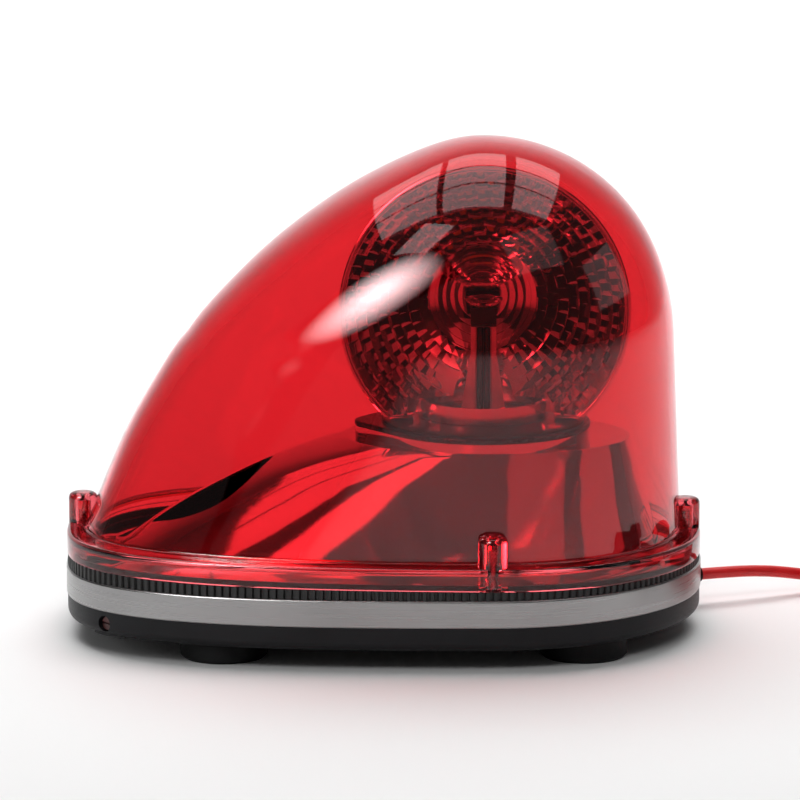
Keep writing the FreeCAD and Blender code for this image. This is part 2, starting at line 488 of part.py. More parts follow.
put("bracket_screws",
    *[fuse(cyl(AX + dx, 32.0, 85.3, 86.9, 2.2), cyl(AX + dx, 32.0, 83.25, 85.5, 1.2)) for dx in (-5.0, 5.0)],
    fuse(Part.makeCylinder(2.4, 1.6, V(AX, 29.65, 118.0), V(0, -1, 0)), Part.makeCylinder(1.2, 7.0, V(AX, 29.0, 118.0), V(0, -1, 0))),
    *[fuse(cyl(AX + side * 33.4, -7.4, 85.25, 86.8, 2.2), cyl(AX + side * 33.4, -7.4, 83.25, 85.5, 1.1)) for side in (-1, 1)])

# ---------------------------------------------------------------- fixed centre: tube, ring, lamp post
tube = fuse(cyl(AX, 0, 67.05, 69.0, 15.0, 7.6), cyl(AX, 0, 68.0, 79.2, POST_R, 7.6))
put("post_tube", one(cut(tube, *[cyl(AX + 12.5 * math.cos(math.radians(a)), 12.5 * math.sin(math.radians(a)), 66, 70, 0.9) for a in (90, 210, 330)])))
put("retaining_ring", cyl(AX, 0, 78.4, 79.2, 13.0, POST_R))
stem = cyl(AX, 0, 70.0, 79.4, 7.55, 3.4)
flange = cyl(AX, 0, 79.3, 81.0, 11.8, 3.4)
col = box(AX - 4.85, AX + 4.85, -3.6, 3.6, 80.9, 118.0)
col = cut(col, box(AX - 3.1, AX + 3.1, -5.0, -0.8, 82.4, 119.0))
gus = []
for side in (-1, 1):
    p = [V(AX + side * 4.5, -2.2, 80.95), V(AX + side * 9.2, -2.2, 80.95), V(AX + side * 8.6, -2.2, 84.0), V(AX + side * 5.2, -2.2, 106.0), V(AX + side * 4.5, -2.2, 106.0)]
    gus.append(Part.Face(Part.makePolygon(p + [p[0]])).extrude(V(0, 2.2, 0)))
fins = [box(AX - 4.2, AX + 4.2, 3.5, 6.6, 84.0 + 4.4 * k, 85.4 + 4.4 * k) for k in range(7)]
post = fuse(stem, flange, col, *gus, *fins)
put("lamp_post", one(post))
neck = cut(box(AX - 4.9, AX + 4.9, -4.6, 4.6, 118.05, 125.0), box(AX - 3.3, AX + 3.3, -5, -3.4, 119.2, 124.0))
put("lamp_socket", one(neck))
put("led_board", cyl(AX, 0, 125.05, 126.0, 5.2))
put("led_chip", box(AX - 1.7, AX + 1.7, -1.7, 1.7, 126.05, 126.7))
cap = turned([(0, 127.0), (3.0, 126.9), (3.6, 126.05), (5.0, 126.05), (7.4, 127.9), (7.4, 128.4), (5.1, 128.5), (4.4, 129.0), (2.4, 129.6), (0, 129.8)], (AX, 0, 0), (0, 0, 1), (1, 0, 0))
put("led_lens", one(cap))

# ---------------------------------------------------------------- shroud
def shroud_point(row, phi, grow=0.0):
    z, nose, rear, half = row
    nose, rear, half = nose + grow, rear + grow, half + grow
    n = 2.0 + 0.62 * (75.5 - z) / 46.0
    c, s = math.cos(phi), math.sin(phi)
    if c >= 0:
        r = 1 / math.sqrt((c / rear) ** 2 + (s / half) ** 2)
    else:
        r = ((abs(c) / nose) ** n + (abs(s) / half) ** n) ** (-1 / n)
    return V(AX + r * c, r * s, z)


def shroud_inner(i, phi):
    e = 1e-3
    rows = SHROUD_RINGS
    around = shroud_point(rows[i], phi + e) - shroud_point(rows[i], phi - e)
    up = shroud_point(rows[min(i + 1, len(rows) - 1)], phi) - shroud_point(rows[max(i - 1, 0)], phi)
    n = around.cross(up).normalize()
    return shroud_point(rows[i], phi) - n * SHROUD_T


s_out = Part.makeLoft([ring_wire([shroud_point(row, p) for p in phis]) for row in SHROUD_RINGS], True, False)
s_in_wires = [ring_wire([V(shroud_inner(0, p).x, shroud_inner(0, p).y, 28.0) for p in phis])]
s_in_wires += [ring_wire([shroud_inner(i, p) for p in phis]) for i in range(1, len(SHROUD_RINGS) - 2)]
s_in_wires += [ring_wire([V(AX + 0.94 * (shroud_inner(8, p).x - AX), 0.94 * shroud_inner(8, p).y, 73.4) for p in phis])]
s_in = Part.makeLoft(s_in_wires, True, False)
s_neck = egg(41.0, 9.1, 72.0, 79.5)
base = prism(8.7, 29.6, 31.35)
shroud = fuse(s_out, s_neck, base)
shroud = shroud.cut(s_in)
shroud = shroud.cut(egg(39.2, 7.9, 60, 80))
# leaf-shaped opening on the crest of the nose
leaf_pts = [(-129.0, -0.5), (-126.0, -9.0), (-120.0, -17.5), (-111.5, -22.6), (-103.0, -23.4), (-95.5, -20.0), (-88.0, -11.5), (-82.5, 1.5), (-90.0, 3.3), (-101.0, 4.0), (-112.0, 3.6), (-122.0, 2.0)]
lc = Part.BSplineCurve()
lc.interpolate(Points=[V(PX + x, y, 36) for x, y in leaf_pts], PeriodicFlag=True)
leaf = Part.Face(Part.Wire([lc.toShape()])).extrude(V(0, 0, 40))
shroud = shroud.cut(leaf)
shroud = cut(shroud, *[cyl(PX + x, y, 29, 33, 1.3) for x, y in SHROUD_PEGS], *[cyl(PX + x, y, 29, 36, 6.4) for x, y in BOLTS])
shroud.translate(V(0, 0, 0.05))
put("inner_shroud", one(shroud))
put("shroud_screws", *[fuse(cyl(PX + x, y, 31.45, 32.9, 2.2), cyl(PX + x, y, 27.7, 31.8, 1.2)) for x, y in SHROUD_PEGS])

# ---------------------------------------------------------------- driver board
bx, by = PX + BOARD[0], BOARD[1]
put("board_standoffs", *[cyl(PX + x, y, Z_RIM + 2.02, 33.6, 2.6) for x, y in STAND])
put("driver_board", one(cut(box(bx - 25, bx + 25, by - 19, by + 19, 33.65, 35.2), *[cyl(PX + x, y, 33, 36, 1.2) for x, y in STAND])))
put("board_screws", *[fuse(cyl(PX + x, y, 35.25, 36.5, 2.0), cyl(PX + x, y, 33.65, 35.5, 1.1)) for x, y in STAND])
put("board_parts", cyl(bx + 10, by + 7, 35.25, 45.0, 4.0), box(bx - 12, bx - 4, by - 12, by - 5, 35.25, 39.0), box(bx - 3, bx + 6, by - 9, by - 1, 35.25, 40.5), cyl(bx - 9, by + 7, 35.25, 41.5, 3.2))
put("board_connector", one(cut(box(bx + 13, bx + 20, by - 13, by + 1, 35.25, 41.0), *[box(bx + 12, bx + 18, by - 11.5 + 4.2 * k, by - 8.6 + 4.2 * k, 36.5, 39.8) for k in range(3)])))

# ---------------------------------------------------------------- the lead: grommet, free run, coil, plug
rg = CORD_D / 2
prof = [(rg + 0.02, 76.6), (3.1, 76.6), (3.1, 82.5), (4.4, 82.5), (4.4, 83.4), (3.95, 84.6), (3.25, 91.5), (rg + 0.02, 91.5)]
put("cord_grommet", one(turned(prof, (PX, 0, CORD_Z), (ca, sa, 0), (0, 0, 1))))
# inside the housing the lead runs straight from a terminal block through the grommet
put("inner_lead", Part.makeCylinder(rg, 47.0, C0 + cd * 39.0, cd))
tb = box(-7, 7, -9, 9, -2.35, 8.0)
tb.rotate(V(0, 0, 0), V(0, 0, 1), CORD_ANG)
tb.translate(V(PX, 0, CORD_Z) + cd * 31.9)
put("terminal_block", tb)

start = C0 + cd * 86.0
ROUTE = [
    (start.x, start.y, CORD_Z),
    (start.x + 17.5 * ca, start.y + 17.5 * sa, CORD_Z),
    (153.0, 46.6, 10.8),
    (171.5, 56.2, 6.4),
    (190.1, 68.4, 2.6),
]
ROUTE = [V(*p) for p in ROUTE]


def rounded(points, name, most=1e9):
    """Straight runs joined by tangent arcs. Prints the radii."""
    edges, at, radii = [], points[0], []
    for i in range(1, len(points) - 1):
        a, p, b = points[i - 1], points[i], points[i + 1]
        u, w = (p - a), (b - p)
        la, lb = u.Length, w.Length
        u.normalize()
        w.normalize()
        turn = math.acos(max(-1, min(1, u.dot(w))))
        r = 0.45 * min(la, lb) / math.tan(turn / 2)
        t = r * math.tan(turn / 2)
        p0, p1 = p - u * t, p + w * t
        half = (w - u).normalize()
        mid = p + half * (r / math.cos(turn / 2) - r)
        edges.append(Part.LineSegment(at, p0).toShape())
        edges.append(Part.Arc(p0, mid, p1).toShape())
        at = p1
        radii.append(r)
    edges.append(Part.LineSegment(at, points[-1]).toShape())
    print(name, "runs", [round((b - a).Length, 1) for a, b in zip(points, points[1:])], "radii", [round(r, 1) for r in radii])
    return Part.Wire(edges)


def tube(points, r, name):
    w = rounded(points, name)
    d = (points[1] - points[0]).normalize()
    circle = Part.Wire([Part.Circle(points[0], d, r).toShape()])
    solid = w.makePipeShell([circle], True, False)
    want = math.pi * r * r * w.Length
    print(name, "length", round(w.Length, 1), "volume", round(solid.Volume, 1), "section x length", round(want, 1))
    return solid


put("power_cord", tube(ROUTE, rg, "power_cord"))
cx, cy = COIL_C
coil = cut(cyl(cx, cy, 0.05, COIL_H, COIL_OUT), cyl(cx, cy, -1, COIL_H + 1, COIL_IN))
coil = coil.makeFillet(4.0, [e for e in coil.Edges if e.BoundBox.ZLength < 0.05])
put("cord_coil", one(coil))

# The plug lies beside the coil, heading towards -Y.
PLX, PLZ = cx + 34.0, 12.7
PLY = cy - 33.0                                            # where its strain relief begins
TAIL = [V(cx + 34.8, cy - 3.0, 16.3), V(cx + 34.6, cy - 16.0, 14.9), V(PLX, PLY + 3.0, PLZ)]
put("cord_tail", tube(TAIL, rg, "cord_tail"))
relief = cut(turned([(0, -3.0), (3.2, -3.0), (5.4, 18.0), (5.4, 22.0), (0, 22.0)], (PLX, PLY, PLZ), (0, -1, 0), (1, 0, 0)), Part.makeCylinder(2.9, 3.3, V(PLX, PLY + 3.2, PLZ), V(0, -1, 0)))
rings = [Part.makeCylinder(8, 0.9, V(PLX, PLY - 3.0 - 2.6 * k, PLZ), V(0, -1, 0)).cut(Part.makeCylinder(3.0 + 0.28 * k, 3, V(PLX, PLY - 2.0 - 2.6 * k, PLZ), V(0, -1, 0))) for k in range(6)]
put("plug_relief", one(cut(relief, *rings)))
h0 = 22.0
handle = turned([(0, h0), (8.6, h0), (12.4, h0 + 4), (12.4, h0 + 28), (11.4, h0 + 31), (10.3, h0 + 31), (10.3, h0 + 66), (9.2, h0 + 68.5), (5.2, h0 + 68.5), (5.2, h0 + 56), (0, h0 + 56)], (PLX, PLY, PLZ), (0, -1, 0), (1, 0, 0))
flutes = []
for k in range(16):
    a = 2 * math.pi * (k + 0.5) / 16
    flutes.append(Part.makeCylinder(1.0, 21.0, V(PLX + 12.9 * math.cos(a), PLY - h0 - 5.5, PLZ + 12.9 * math.sin(a)), V(0, -1, 0)))
windows = [box(PLX + 8.0, PLX + 14, PLY - h0 - 58, PLY - h0 - 34, PLZ - 2.6, PLZ + 2.6), box(PLX - 14, PLX - 8.0, PLY - h0 - 58, PLY - h0 - 34, PLZ - 2.6, PLZ + 2.6)]
put("plug_body", one(cut(handle, *flutes, *windows)))
put("plug_cap", turned([(3.1, h0 + 62.0), (5.1, h0 + 62.0), (5.1, h0 + 68.6), (8.9, h0 + 68.6), (7.6, h0 + 71.5), (3.1, h0 + 71.5)], (PLX, PLY, PLZ), (0, -1, 0), (1, 0, 0)))
put("plug_tip", one(turned([(0, h0 + 59.0), (4.6, h0 + 59.0), (4.6, h0 + 61.9), (3.04, h0 + 61.9), (3.04, h0 + 74.2), (1.6, h0 + 76.2), (0, h0 + 76.6)], (PLX, PLY, PLZ), (0, -1, 0), (1, 0, 0))))
clips = []
for side in (-1, 1):
    p = [V(PLX + side * x, PLY - h0 - y, PLZ - 2.3) for x, y in ((8.05, 35.0), (9.3, 34.6), (11.3, 44.0), (11.3, 48.0), (9.3, 57.4), (8.05, 57.0), (8.05, 56.0), (10.2, 47.6), (10.2, 44.4), (8.05, 36.0))]
    clips.append(Part.Face(Part.makePolygon(p + [p[0]])).extrude(V(0, 0, 4.6)))
put("plug_contacts", *clips)
print(len(WRITTEN), "nodes")
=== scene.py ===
"""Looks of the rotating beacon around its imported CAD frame. Metres, in the row frame: +X to the rear, +Z up."""
import json
import math
import bmesh
import bpy
import numpy as np
from mathutils import Matrix, Vector


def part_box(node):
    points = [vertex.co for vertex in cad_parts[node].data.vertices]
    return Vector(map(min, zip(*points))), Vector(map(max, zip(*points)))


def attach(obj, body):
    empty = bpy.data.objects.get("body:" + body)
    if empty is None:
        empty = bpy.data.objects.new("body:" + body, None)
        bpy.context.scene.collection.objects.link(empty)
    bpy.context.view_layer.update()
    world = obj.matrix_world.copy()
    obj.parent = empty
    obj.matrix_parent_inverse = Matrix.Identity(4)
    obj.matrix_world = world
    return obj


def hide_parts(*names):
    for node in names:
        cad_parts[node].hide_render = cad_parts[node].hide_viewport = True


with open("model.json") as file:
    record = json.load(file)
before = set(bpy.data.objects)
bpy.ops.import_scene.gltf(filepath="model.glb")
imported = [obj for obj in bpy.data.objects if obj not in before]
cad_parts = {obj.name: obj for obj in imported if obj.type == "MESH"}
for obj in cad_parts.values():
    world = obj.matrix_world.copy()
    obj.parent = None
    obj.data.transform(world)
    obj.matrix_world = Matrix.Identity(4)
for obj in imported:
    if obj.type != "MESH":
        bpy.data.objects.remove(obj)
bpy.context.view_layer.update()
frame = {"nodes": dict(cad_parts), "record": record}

NODES = frame["nodes"]
SC = bpy.context.scene
COL = SC.collection
MM = 0.001
FEET_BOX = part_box("magnet_boots")
LENS_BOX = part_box("lens_cover")
BAND_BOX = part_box("trim_band")

# ---------------------------------------------------------------- the part's own sizes, as in the CAD
REAR, NOSE, HALF_W = 82.9, 162.1, 81.0
NOSE_POW, SIDE_POW = 2.93, 3.0
PX = (NOSE - REAR) / 2
AX = PX - 1.4
Z_SEAL, Z_FLANGE = 30.87, 39.6
LEAN = math.tan(math.radians(0.516))
BOLTS = [(-156.0, 0.0), (76.85, 0.0), (1.2, -75.0), (1.2, 75.0)]
BOSS_R, BOSS_TOP = 5.55, 51.2
DISH_R, DISH_F, DISH_Z, DISH_T = 54.6, 19.3, 126.3, 1.8


# ---------------------------------------------------------------- small helpers
def plan_point(phi):
    c, s = math.cos(phi), math.sin(phi)
    if c >= 0:
        r = 1 / math.sqrt((c / REAR) ** 2 + (s / HALF_W) ** 2)
    else:
        lo, hi = 60.0, 200.0
        for _ in range(50):
            r = (lo + hi) / 2
            if (r * abs(c) / NOSE) ** NOSE_POW + (r * abs(s) / HALF_W) ** SIDE_POW > 1:
                hi = r
            else:
                lo = r
    return r * c, r * s


def plan_offset(phi, inset):
    e = 1e-3
    (x0, y0), (x1, y1), (x, y) = plan_point(phi - e), plan_point(phi + e), plan_point(phi)
    tx, ty = x1 - x0, y1 - y0
    n = math.hypot(tx, ty)
    return PX + x - ty / n * inset, y + tx / n * inset


def spline_fn(xs, ys, flat_end=False):
    """A natural cubic spline through the points, level at its end if asked."""
    xs, ys = np.array(xs, float), np.array(ys, float)
    n = len(xs)
    h = np.diff(xs)
    A, b = np.zeros((n, n)), np.zeros(n)
    A[0, 0] = 1
    for i in range(1, n - 1):
        A[i, i - 1], A[i, i], A[i, i + 1] = h[i - 1], 2 * (h[i - 1] + h[i]), h[i]
        b[i] = 6 * ((ys[i + 1] - ys[i]) / h[i] - (ys[i] - ys[i - 1]) / h[i - 1])
    if flat_end:
        A[-1, -2], A[-1, -1] = h[-1], 2 * h[-1]
        b[-1] = 6 * (0 - (ys[-1] - ys[-2]) / h[-1])
    else:
        A[-1, -1] = 1
    m = np.linalg.solve(A, b)

    def f(x):
        i = int(min(max(np.searchsorted(xs, x) - 1, 0), n - 2))
        a, c = (xs[i + 1] - x) / h[i], (x - xs[i]) / h[i]
        return float(a * ys[i] + c * ys[i + 1] + ((a ** 3 - a) * m[i] + (c ** 3 - c) * m[i + 1]) * h[i] ** 2 / 6)

    return f


def mesh_object(name, verts, faces, smooth=True, sharp=None):
    me = bpy.data.meshes.new(name)
    me.from_pydata([tuple(v) for v in verts], [], faces)
    me.update()
    o = bpy.data.objects.new(name, me)
    COL.objects.link(o)
    if smooth:
        me.shade_smooth()
        if sharp:
            me.set_sharp_from_angle(angle=math.radians(sharp))
    return o


def tidy(o, sharp=35.0):
    bm = bmesh.new()
    bm.from_mesh(o.data)
    bmesh.ops.recalc_face_normals(bm, faces=bm.faces)
    bm.to_mesh(o.data)
    bm.free()
    o.data.shade_smooth()
    o.data.set_sharp_from_angle(angle=math.radians(sharp))
    return o


def grid_shell(name, rows, closed_rows=False, poles=(None, None), sharp=35.0):
    """A surface from rows of points, each row a closed loop. poles are points that close the first and last row."""
    n = len(rows[0])
    verts = [p for row in rows for p in row]
    faces = []
    last = len(rows) if closed_rows else len(rows) - 1
    for i in range(last):
        a, b = i * n, ((i + 1) % len(rows)) * n
        for k in range(n):
            faces.append((a + k, a + (k + 1) % n, b + (k + 1) % n, b + k))
    for which, pole in enumerate(poles):
        if pole is None:
            continue
        verts.append(pole)
        v = len(verts) - 1
        base = 0 if which == 0 else (len(rows) - 1) * n
        for k in range(n):
            faces.append((v, base + k, base + (k + 1) % n))
    o = mesh_object(name, [Vector(p) * MM for p in verts], faces)
    return tidy(o, sharp)


def lathe(name, profile, base, axis=(0, 0, 1), side=(1, 0, 0), n=64, sharp=35.0):
    """A closed turned solid. profile is (radius, distance along the axis) pairs; the ends lie on the axis."""
    axis, side = Vector(axis).normalized(), Vector(side).normalized()
    other = axis.cross(side)
    base = Vector(base)
    rows, poles = [], [None, None]
    pts = list(profile)
    closed = pts[0][0] > 1e-6 and pts[-1][0] > 1e-6
    if pts[0][0] <= 1e-6:
        poles[0] = base + axis * pts[0][1]
        pts = pts[1:]
    if pts[-1][0] <= 1e-6:
        poles[1] = base + axis * pts[-1][1]
        pts = pts[:-1]
    for r, h in pts:
        rows.append([base + axis * h + (side * math.cos(2 * math.pi * k / n) + other * math.sin(2 * math.pi * k / n)) * r for k in range(n)])
    return grid_shell(name, rows, closed_rows=closed, poles=tuple(poles), sharp=sharp)


def prism(name, points, z0, z1):
    n = len(points)
    verts = [Vector((x, y, z0)) * MM for x, y in points] + [Vector((x, y, z1)) * MM for x, y in points]
    faces = [tuple(range(n))[::-1], tuple(range(n, 2 * n))] + [(k, (k + 1) % n, n + (k + 1) % n, n + k) for k in range(n)]
    o = mesh_object(name, verts, faces)
    return tidy(o, 35)


def boolean(o, tool, op, keep_tool=False):
    m = o.modifiers.new("b", "BOOLEAN")
    m.operation = op
    m.solver = "EXACT"
    m.object = tool
    bpy.context.view_layer.update()
    dg = bpy.context.evaluated_depsgraph_get()
    me = bpy.data.meshes.new_from_object(o.evaluated_get(dg))
    o.modifiers.clear()
    old = o.data
    o.data = me
    bpy.data.meshes.remove(old)
    if not keep_tool:
        bpy.data.objects.remove(tool)
    return o


def joined(name, parts):
    bm = bmesh.new()
    for p in parts:
        bm.from_mesh(p.data)
    me = bpy.data.meshes.new(name)
    bm.to_mesh(me)
    bm.free()
    o = bpy.data.objects.new(name, me)
    COL.objects.link(o)
    for p in parts:
        bpy.data.objects.remove(p)
    return o


# ---------------------------------------------------------------- materials
def new_mat(name):
    m = bpy.data.materials.new(name)
    m.use_nodes = True
    nt = m.node_tree
    nt.nodes.clear()
    out = nt.nodes.new("ShaderNodeOutputMaterial")
    b = nt.nodes.new("ShaderNodeBsdfPrincipled")
    nt.links.new(b.outputs[0], out.inputs[0])
    return m, nt, b, out


def noise(nt, scale, detail=3.0, rough=0.5, stretch=None, distort=0.0):
    tc = nt.nodes.new("ShaderNodeTexCoord")
    n = nt.nodes.new("ShaderNodeTexNoise")
    n.inputs["Scale"].default_value = scale
    n.inputs["Detail"].default_value = detail
    n.inputs["Roughness"].default_value = rough
    n.inputs["Distortion"].default_value = distort
    if stretch:
        mp = nt.nodes.new("ShaderNodeMapping")
        mp.inputs["Scale"].default_value = stretch
        nt.links.new(tc.outputs["Object"], mp.inputs["Vector"])
        nt.links.new(mp.outputs[0], n.inputs["Vector"])
    else:
        nt.links.new(tc.outputs["Object"], n.inputs["Vector"])
    return n


def ramp(nt, source, stops):
    r = nt.nodes.new("ShaderNodeValToRGB")
    els = r.color_ramp.elements
    while len(els) < len(stops):
        els.new(0.5)
    for e, (p, c) in zip(els, stops):
        e.position = p
        e.color = (*c, 1) if len(c) == 3 else c
    nt.links.new(source, r.inputs[0])
    return r


def ranged(nt, source, low, high, a=0.0, b=1.0):
    m = nt.nodes.new("ShaderNodeMapRange")
    m.inputs["From Min"].default_value = a
    m.inputs["From Max"].default_value = b
    m.inputs["To Min"].default_value = low
    m.inputs["To Max"].default_value = high
    nt.links.new(source, m.inputs["Value"])
    return m.outputs[0]


def bump(nt, source, b, strength, distance):
    n = nt.nodes.new("ShaderNodeBump")
    n.inputs["Strength"].default_value = strength
    n.inputs["Distance"].default_value = distance
    nt.links.new(source, n.inputs["Height"])
    nt.links.new(n.outputs[0], b.inputs["Normal"])
    return n


def plain(name, dark, light, rough, metallic=0.0, scale=60.0, fine=900.0, bump_mm=0.02, bump_s=0.25, spec=0.5, coat=0.0, stretch=None, ior=1.5):
    """A surface with slow colour variation, and roughness and bump from a fine grain."""
    m, nt, b, _ = new_mat(name)
    slow = noise(nt, scale, 3.0)
    c = ramp(nt, slow.outputs["Fac"], [(0.30, dark), (0.70, light)])
    nt.links.new(c.outputs[0], b.inputs["Base Color"])
    grain = noise(nt, fine, 2.0, stretch=stretch)
    nt.links.new(ranged(nt, grain.outputs["Fac"], rough[0], rough[1], 0.3, 0.7), b.inputs["Roughness"])
    bump(nt, grain.outputs["Fac"], b, bump_s, bump_mm * MM)
    b.inputs["Metallic"].default_value = metallic
    b.inputs["Specular IOR Level"].default_value = spec
    b.inputs["Coat Weight"].default_value = coat
    b.inputs["IOR"].default_value = ior
    return m


M = {}
M["black_rubber"] = plain("moulded_rubber", (0.0016, 0.0017, 0.0020), (0.0042, 0.0043, 0.0050), (0.48, 0.66), scale=90, fine=1500, bump_mm=0.03, spec=0.18)
M["housing"] = plain("black_moulding", (0.0042, 0.0042, 0.0054), (0.0074, 0.0075, 0.0094), (0.36, 0.52), scale=45, fine=2200, bump_mm=0.02, spec=0.22)
M["seal"] = plain("ribbed_rubber", (0.002, 0.002, 0.0022), (0.0055, 0.0055, 0.006), (0.40, 0.62), scale=140, fine=1600, bump_mm=0.02)
M["case"] = plain("case_moulding", (0.004, 0.004, 0.005), (0.010, 0.010, 0.012), (0.22, 0.34), scale=60, fine=1800, bump_mm=0.01)
M["plate"] = plain("plate_moulding", (0.006, 0.006, 0.007), (0.014, 0.014, 0.016), (0.38, 0.52), scale=60, fine=1800, bump_mm=0.015)
M["steel"] = plain("plated_steel", (0.42, 0.42, 0.44), (0.60, 0.60, 0.61), (0.22, 0.40), metallic=1.0, scale=120, fine=900, bump_mm=0.01)
M["steel_screw"] = plain("screw_steel", (0.46, 0.46, 0.47), (0.66, 0.66, 0.68), (0.20, 0.36), metallic=1.0, scale=300, fine=1500, bump_mm=0.008)
M["ferrite"] = plain("ferrite", (0.030, 0.030, 0.033), (0.060, 0.058, 0.060), (0.55, 0.75), scale=300, fine=1500, bump_mm=0.03)
M["lock_screw"] = plain("brown_screw", (0.060, 0.012, 0.012), (0.130, 0.034, 0.030), (0.30, 0.45), scale=400, fine=1500, bump_mm=0.02)
M["gear"] = plain("acetal", (0.60, 0.58, 0.52), (0.72, 0.70, 0.64), (0.28, 0.40), scale=80, fine=1200, bump_mm=0.006)
M["bush"] = plain("bronze", (0.45, 0.28, 0.11), (0.62, 0.42, 0.19), (0.30, 0.46), metallic=1.0, scale=300, fine=1500, bump_mm=0.02)
M["motor"] = plain("motor_can_plate", (0.45, 0.46, 0.47), (0.62, 0.63, 0.64), (0.24, 0.36), metallic=1.0, scale=60, fine=500, stretch=(1, 1, 8), bump_mm=0.008)
M["armature"] = plain("laminations", (0.06, 0.055, 0.05), (0.16, 0.14, 0.13), (0.40, 0.60), metallic=0.7, scale=200, fine=500, stretch=(0.2, 0.2, 12), bump_mm=0.03)
M["tube"] = plain("turned_aluminium", (0.55, 0.56, 0.57), (0.72, 0.73, 0.74), (0.20, 0.34), metallic=1.0, scale=100, fine=400, stretch=(0.5, 0.5, 10), bump_mm=0.01)
M["board"] = plain("solder_mask", (0.008, 0.060, 0.022), (0.016, 0.110, 0.040), (0.22, 0.34), scale=500, fine=1200, bump_mm=0.02, coat=0.3)
M["chip"] = plain("phosphor", (0.62, 0.44, 0.06), (0.82, 0.62, 0.12), (0.28, 0.40), scale=900, fine=3000, bump_mm=0.02)
M["parts"] = plain("component_black", (0.010, 0.010, 0.011), (0.024, 0.024, 0.026), (0.25, 0.42), scale=400, fine=1800, bump_mm=0.02)
M["connector"] = plain("connector_moulding", (0.58, 0.57, 0.52), (0.72, 0.70, 0.66), (0.32, 0.44), scale=200, fine=1500, bump_mm=0.01)
M["cord"] = plain("red_jacket", (0.60, 0.010, 0.012), (0.72, 0.016, 0.018), (0.34, 0.48), scale=160, fine=1500, bump_mm=0.015, spec=0.5)
M["plug"] = plain("plug_moulding", (0.007, 0.007, 0.008), (0.016, 0.016, 0.018), (0.24, 0.38), scale=120, fine=1600, bump_mm=0.012)
M["contact"] = plain("nickel", (0.52, 0.50, 0.46), (0.70, 0.68, 0.64), (0.14, 0.26), metallic=1.0, scale=300, fine=1500, bump_mm=0.006)
M["post"] = plain("cast_post", (0.70, 0.70, 0.71), (0.86, 0.86, 0.87), (0.34, 0.50), metallic=0.6, scale=150, fine=1400, bump_mm=0.015)


def chrome(name, tint, rough, wave_mm=0.0, scale=30.0):
    m, nt, b, _ = new_mat(name)
    slow = noise(nt, 40.0, 2.0)
    c = ramp(nt, slow.outputs["Fac"], [(0.25, tuple(0.94 * t for t in tint)), (0.75, tint)])
    nt.links.new(c.outputs[0], b.inputs["Base Color"])
    b.inputs["Metallic"].default_value = 1.0
    fine = noise(nt, 700.0, 3.0)
    nt.links.new(ranged(nt, fine.outputs["Fac"], rough[0], rough[1], 0.3, 0.7), b.inputs["Roughness"])
    if wave_mm:
        w = noise(nt, scale, 1.0)
        bump(nt, w.outputs["Fac"], b, 1.0, wave_mm * MM)
    return m


M["shroud"] = chrome("metallised_shroud", (0.88, 0.88, 0.89), (0.05, 0.10), 0.35, 26.0)
M["reflector"] = chrome("metallised_reflector", (0.90, 0.90, 0.91), (0.03, 0.08))


def band_material():
    """Satin metallised trim: fine lengthwise brushing, slightly darker patches."""
    m, nt, b, _ = new_mat("satin_trim")
    slow = noise(nt, 14.0, 2.0, stretch=(1, 1, 0.2))
    c = ramp(nt, slow.outputs["Fac"], [(0.25, (0.29, 0.285, 0.285)), (0.75, (0.36, 0.355, 0.355))])
    nt.links.new(c.outputs[0], b.inputs["Base Color"])
    b.inputs["Metallic"].default_value = 1.0
    brush = noise(nt, 300.0, 3.0, stretch=(0.05, 0.05, 6.0))
    nt.links.new(ranged(nt, brush.outputs["Fac"], 0.24, 0.36, 0.3, 0.7), b.inputs["Roughness"])
    bump(nt, brush.outputs["Fac"], b, 0.35, 0.02 * MM)
    return m


M["band"] = band_material()


def turntable_material():
    """Black moulding whose collar is metallised above the disc."""
    m, nt, b, _ = new_mat("turntable_two_tone")
    tc = nt.nodes.new("ShaderNodeTexCoord")
    sep = nt.nodes.new("ShaderNodeSeparateXYZ")
    nt.links.new(tc.outputs["Object"], sep.inputs[0])
    up = nt.nodes.new("ShaderNodeMapRange")
    up.inputs["From Min"].default_value = 83.3 * MM
    up.inputs["From Max"].default_value = 83.5 * MM
    nt.links.new(sep.outputs["Z"], up.inputs["Value"])
    grain = noise(nt, 900.0, 2.0)
    base = ramp(nt, grain.outputs["Fac"], [(0.3, (0.004, 0.004, 0.005)), (0.7, (0.009, 0.009, 0.010))])
    mix = nt.nodes.new("ShaderNodeMix")
    mix.data_type = "RGBA"
    nt.links.new(up.outputs[0], mix.inputs["Factor"])
    nt.links.new(base.outputs[0], mix.inputs["A"])
    mix.inputs["B"].default_value = (0.82, 0.82, 0.83, 1)
    nt.links.new(mix.outputs["Result"], b.inputs["Base Color"])
    nt.links.new(up.outputs[0], b.inputs["Metallic"])
    nt.links.new(ranged(nt, grain.outputs["Fac"], 0.14, 0.24, 0.3, 0.7), b.inputs["Roughness"])
    return m


M["turntable"] = turntable_material()

LENS_TINT = (0.80, 0.115, 0.140)


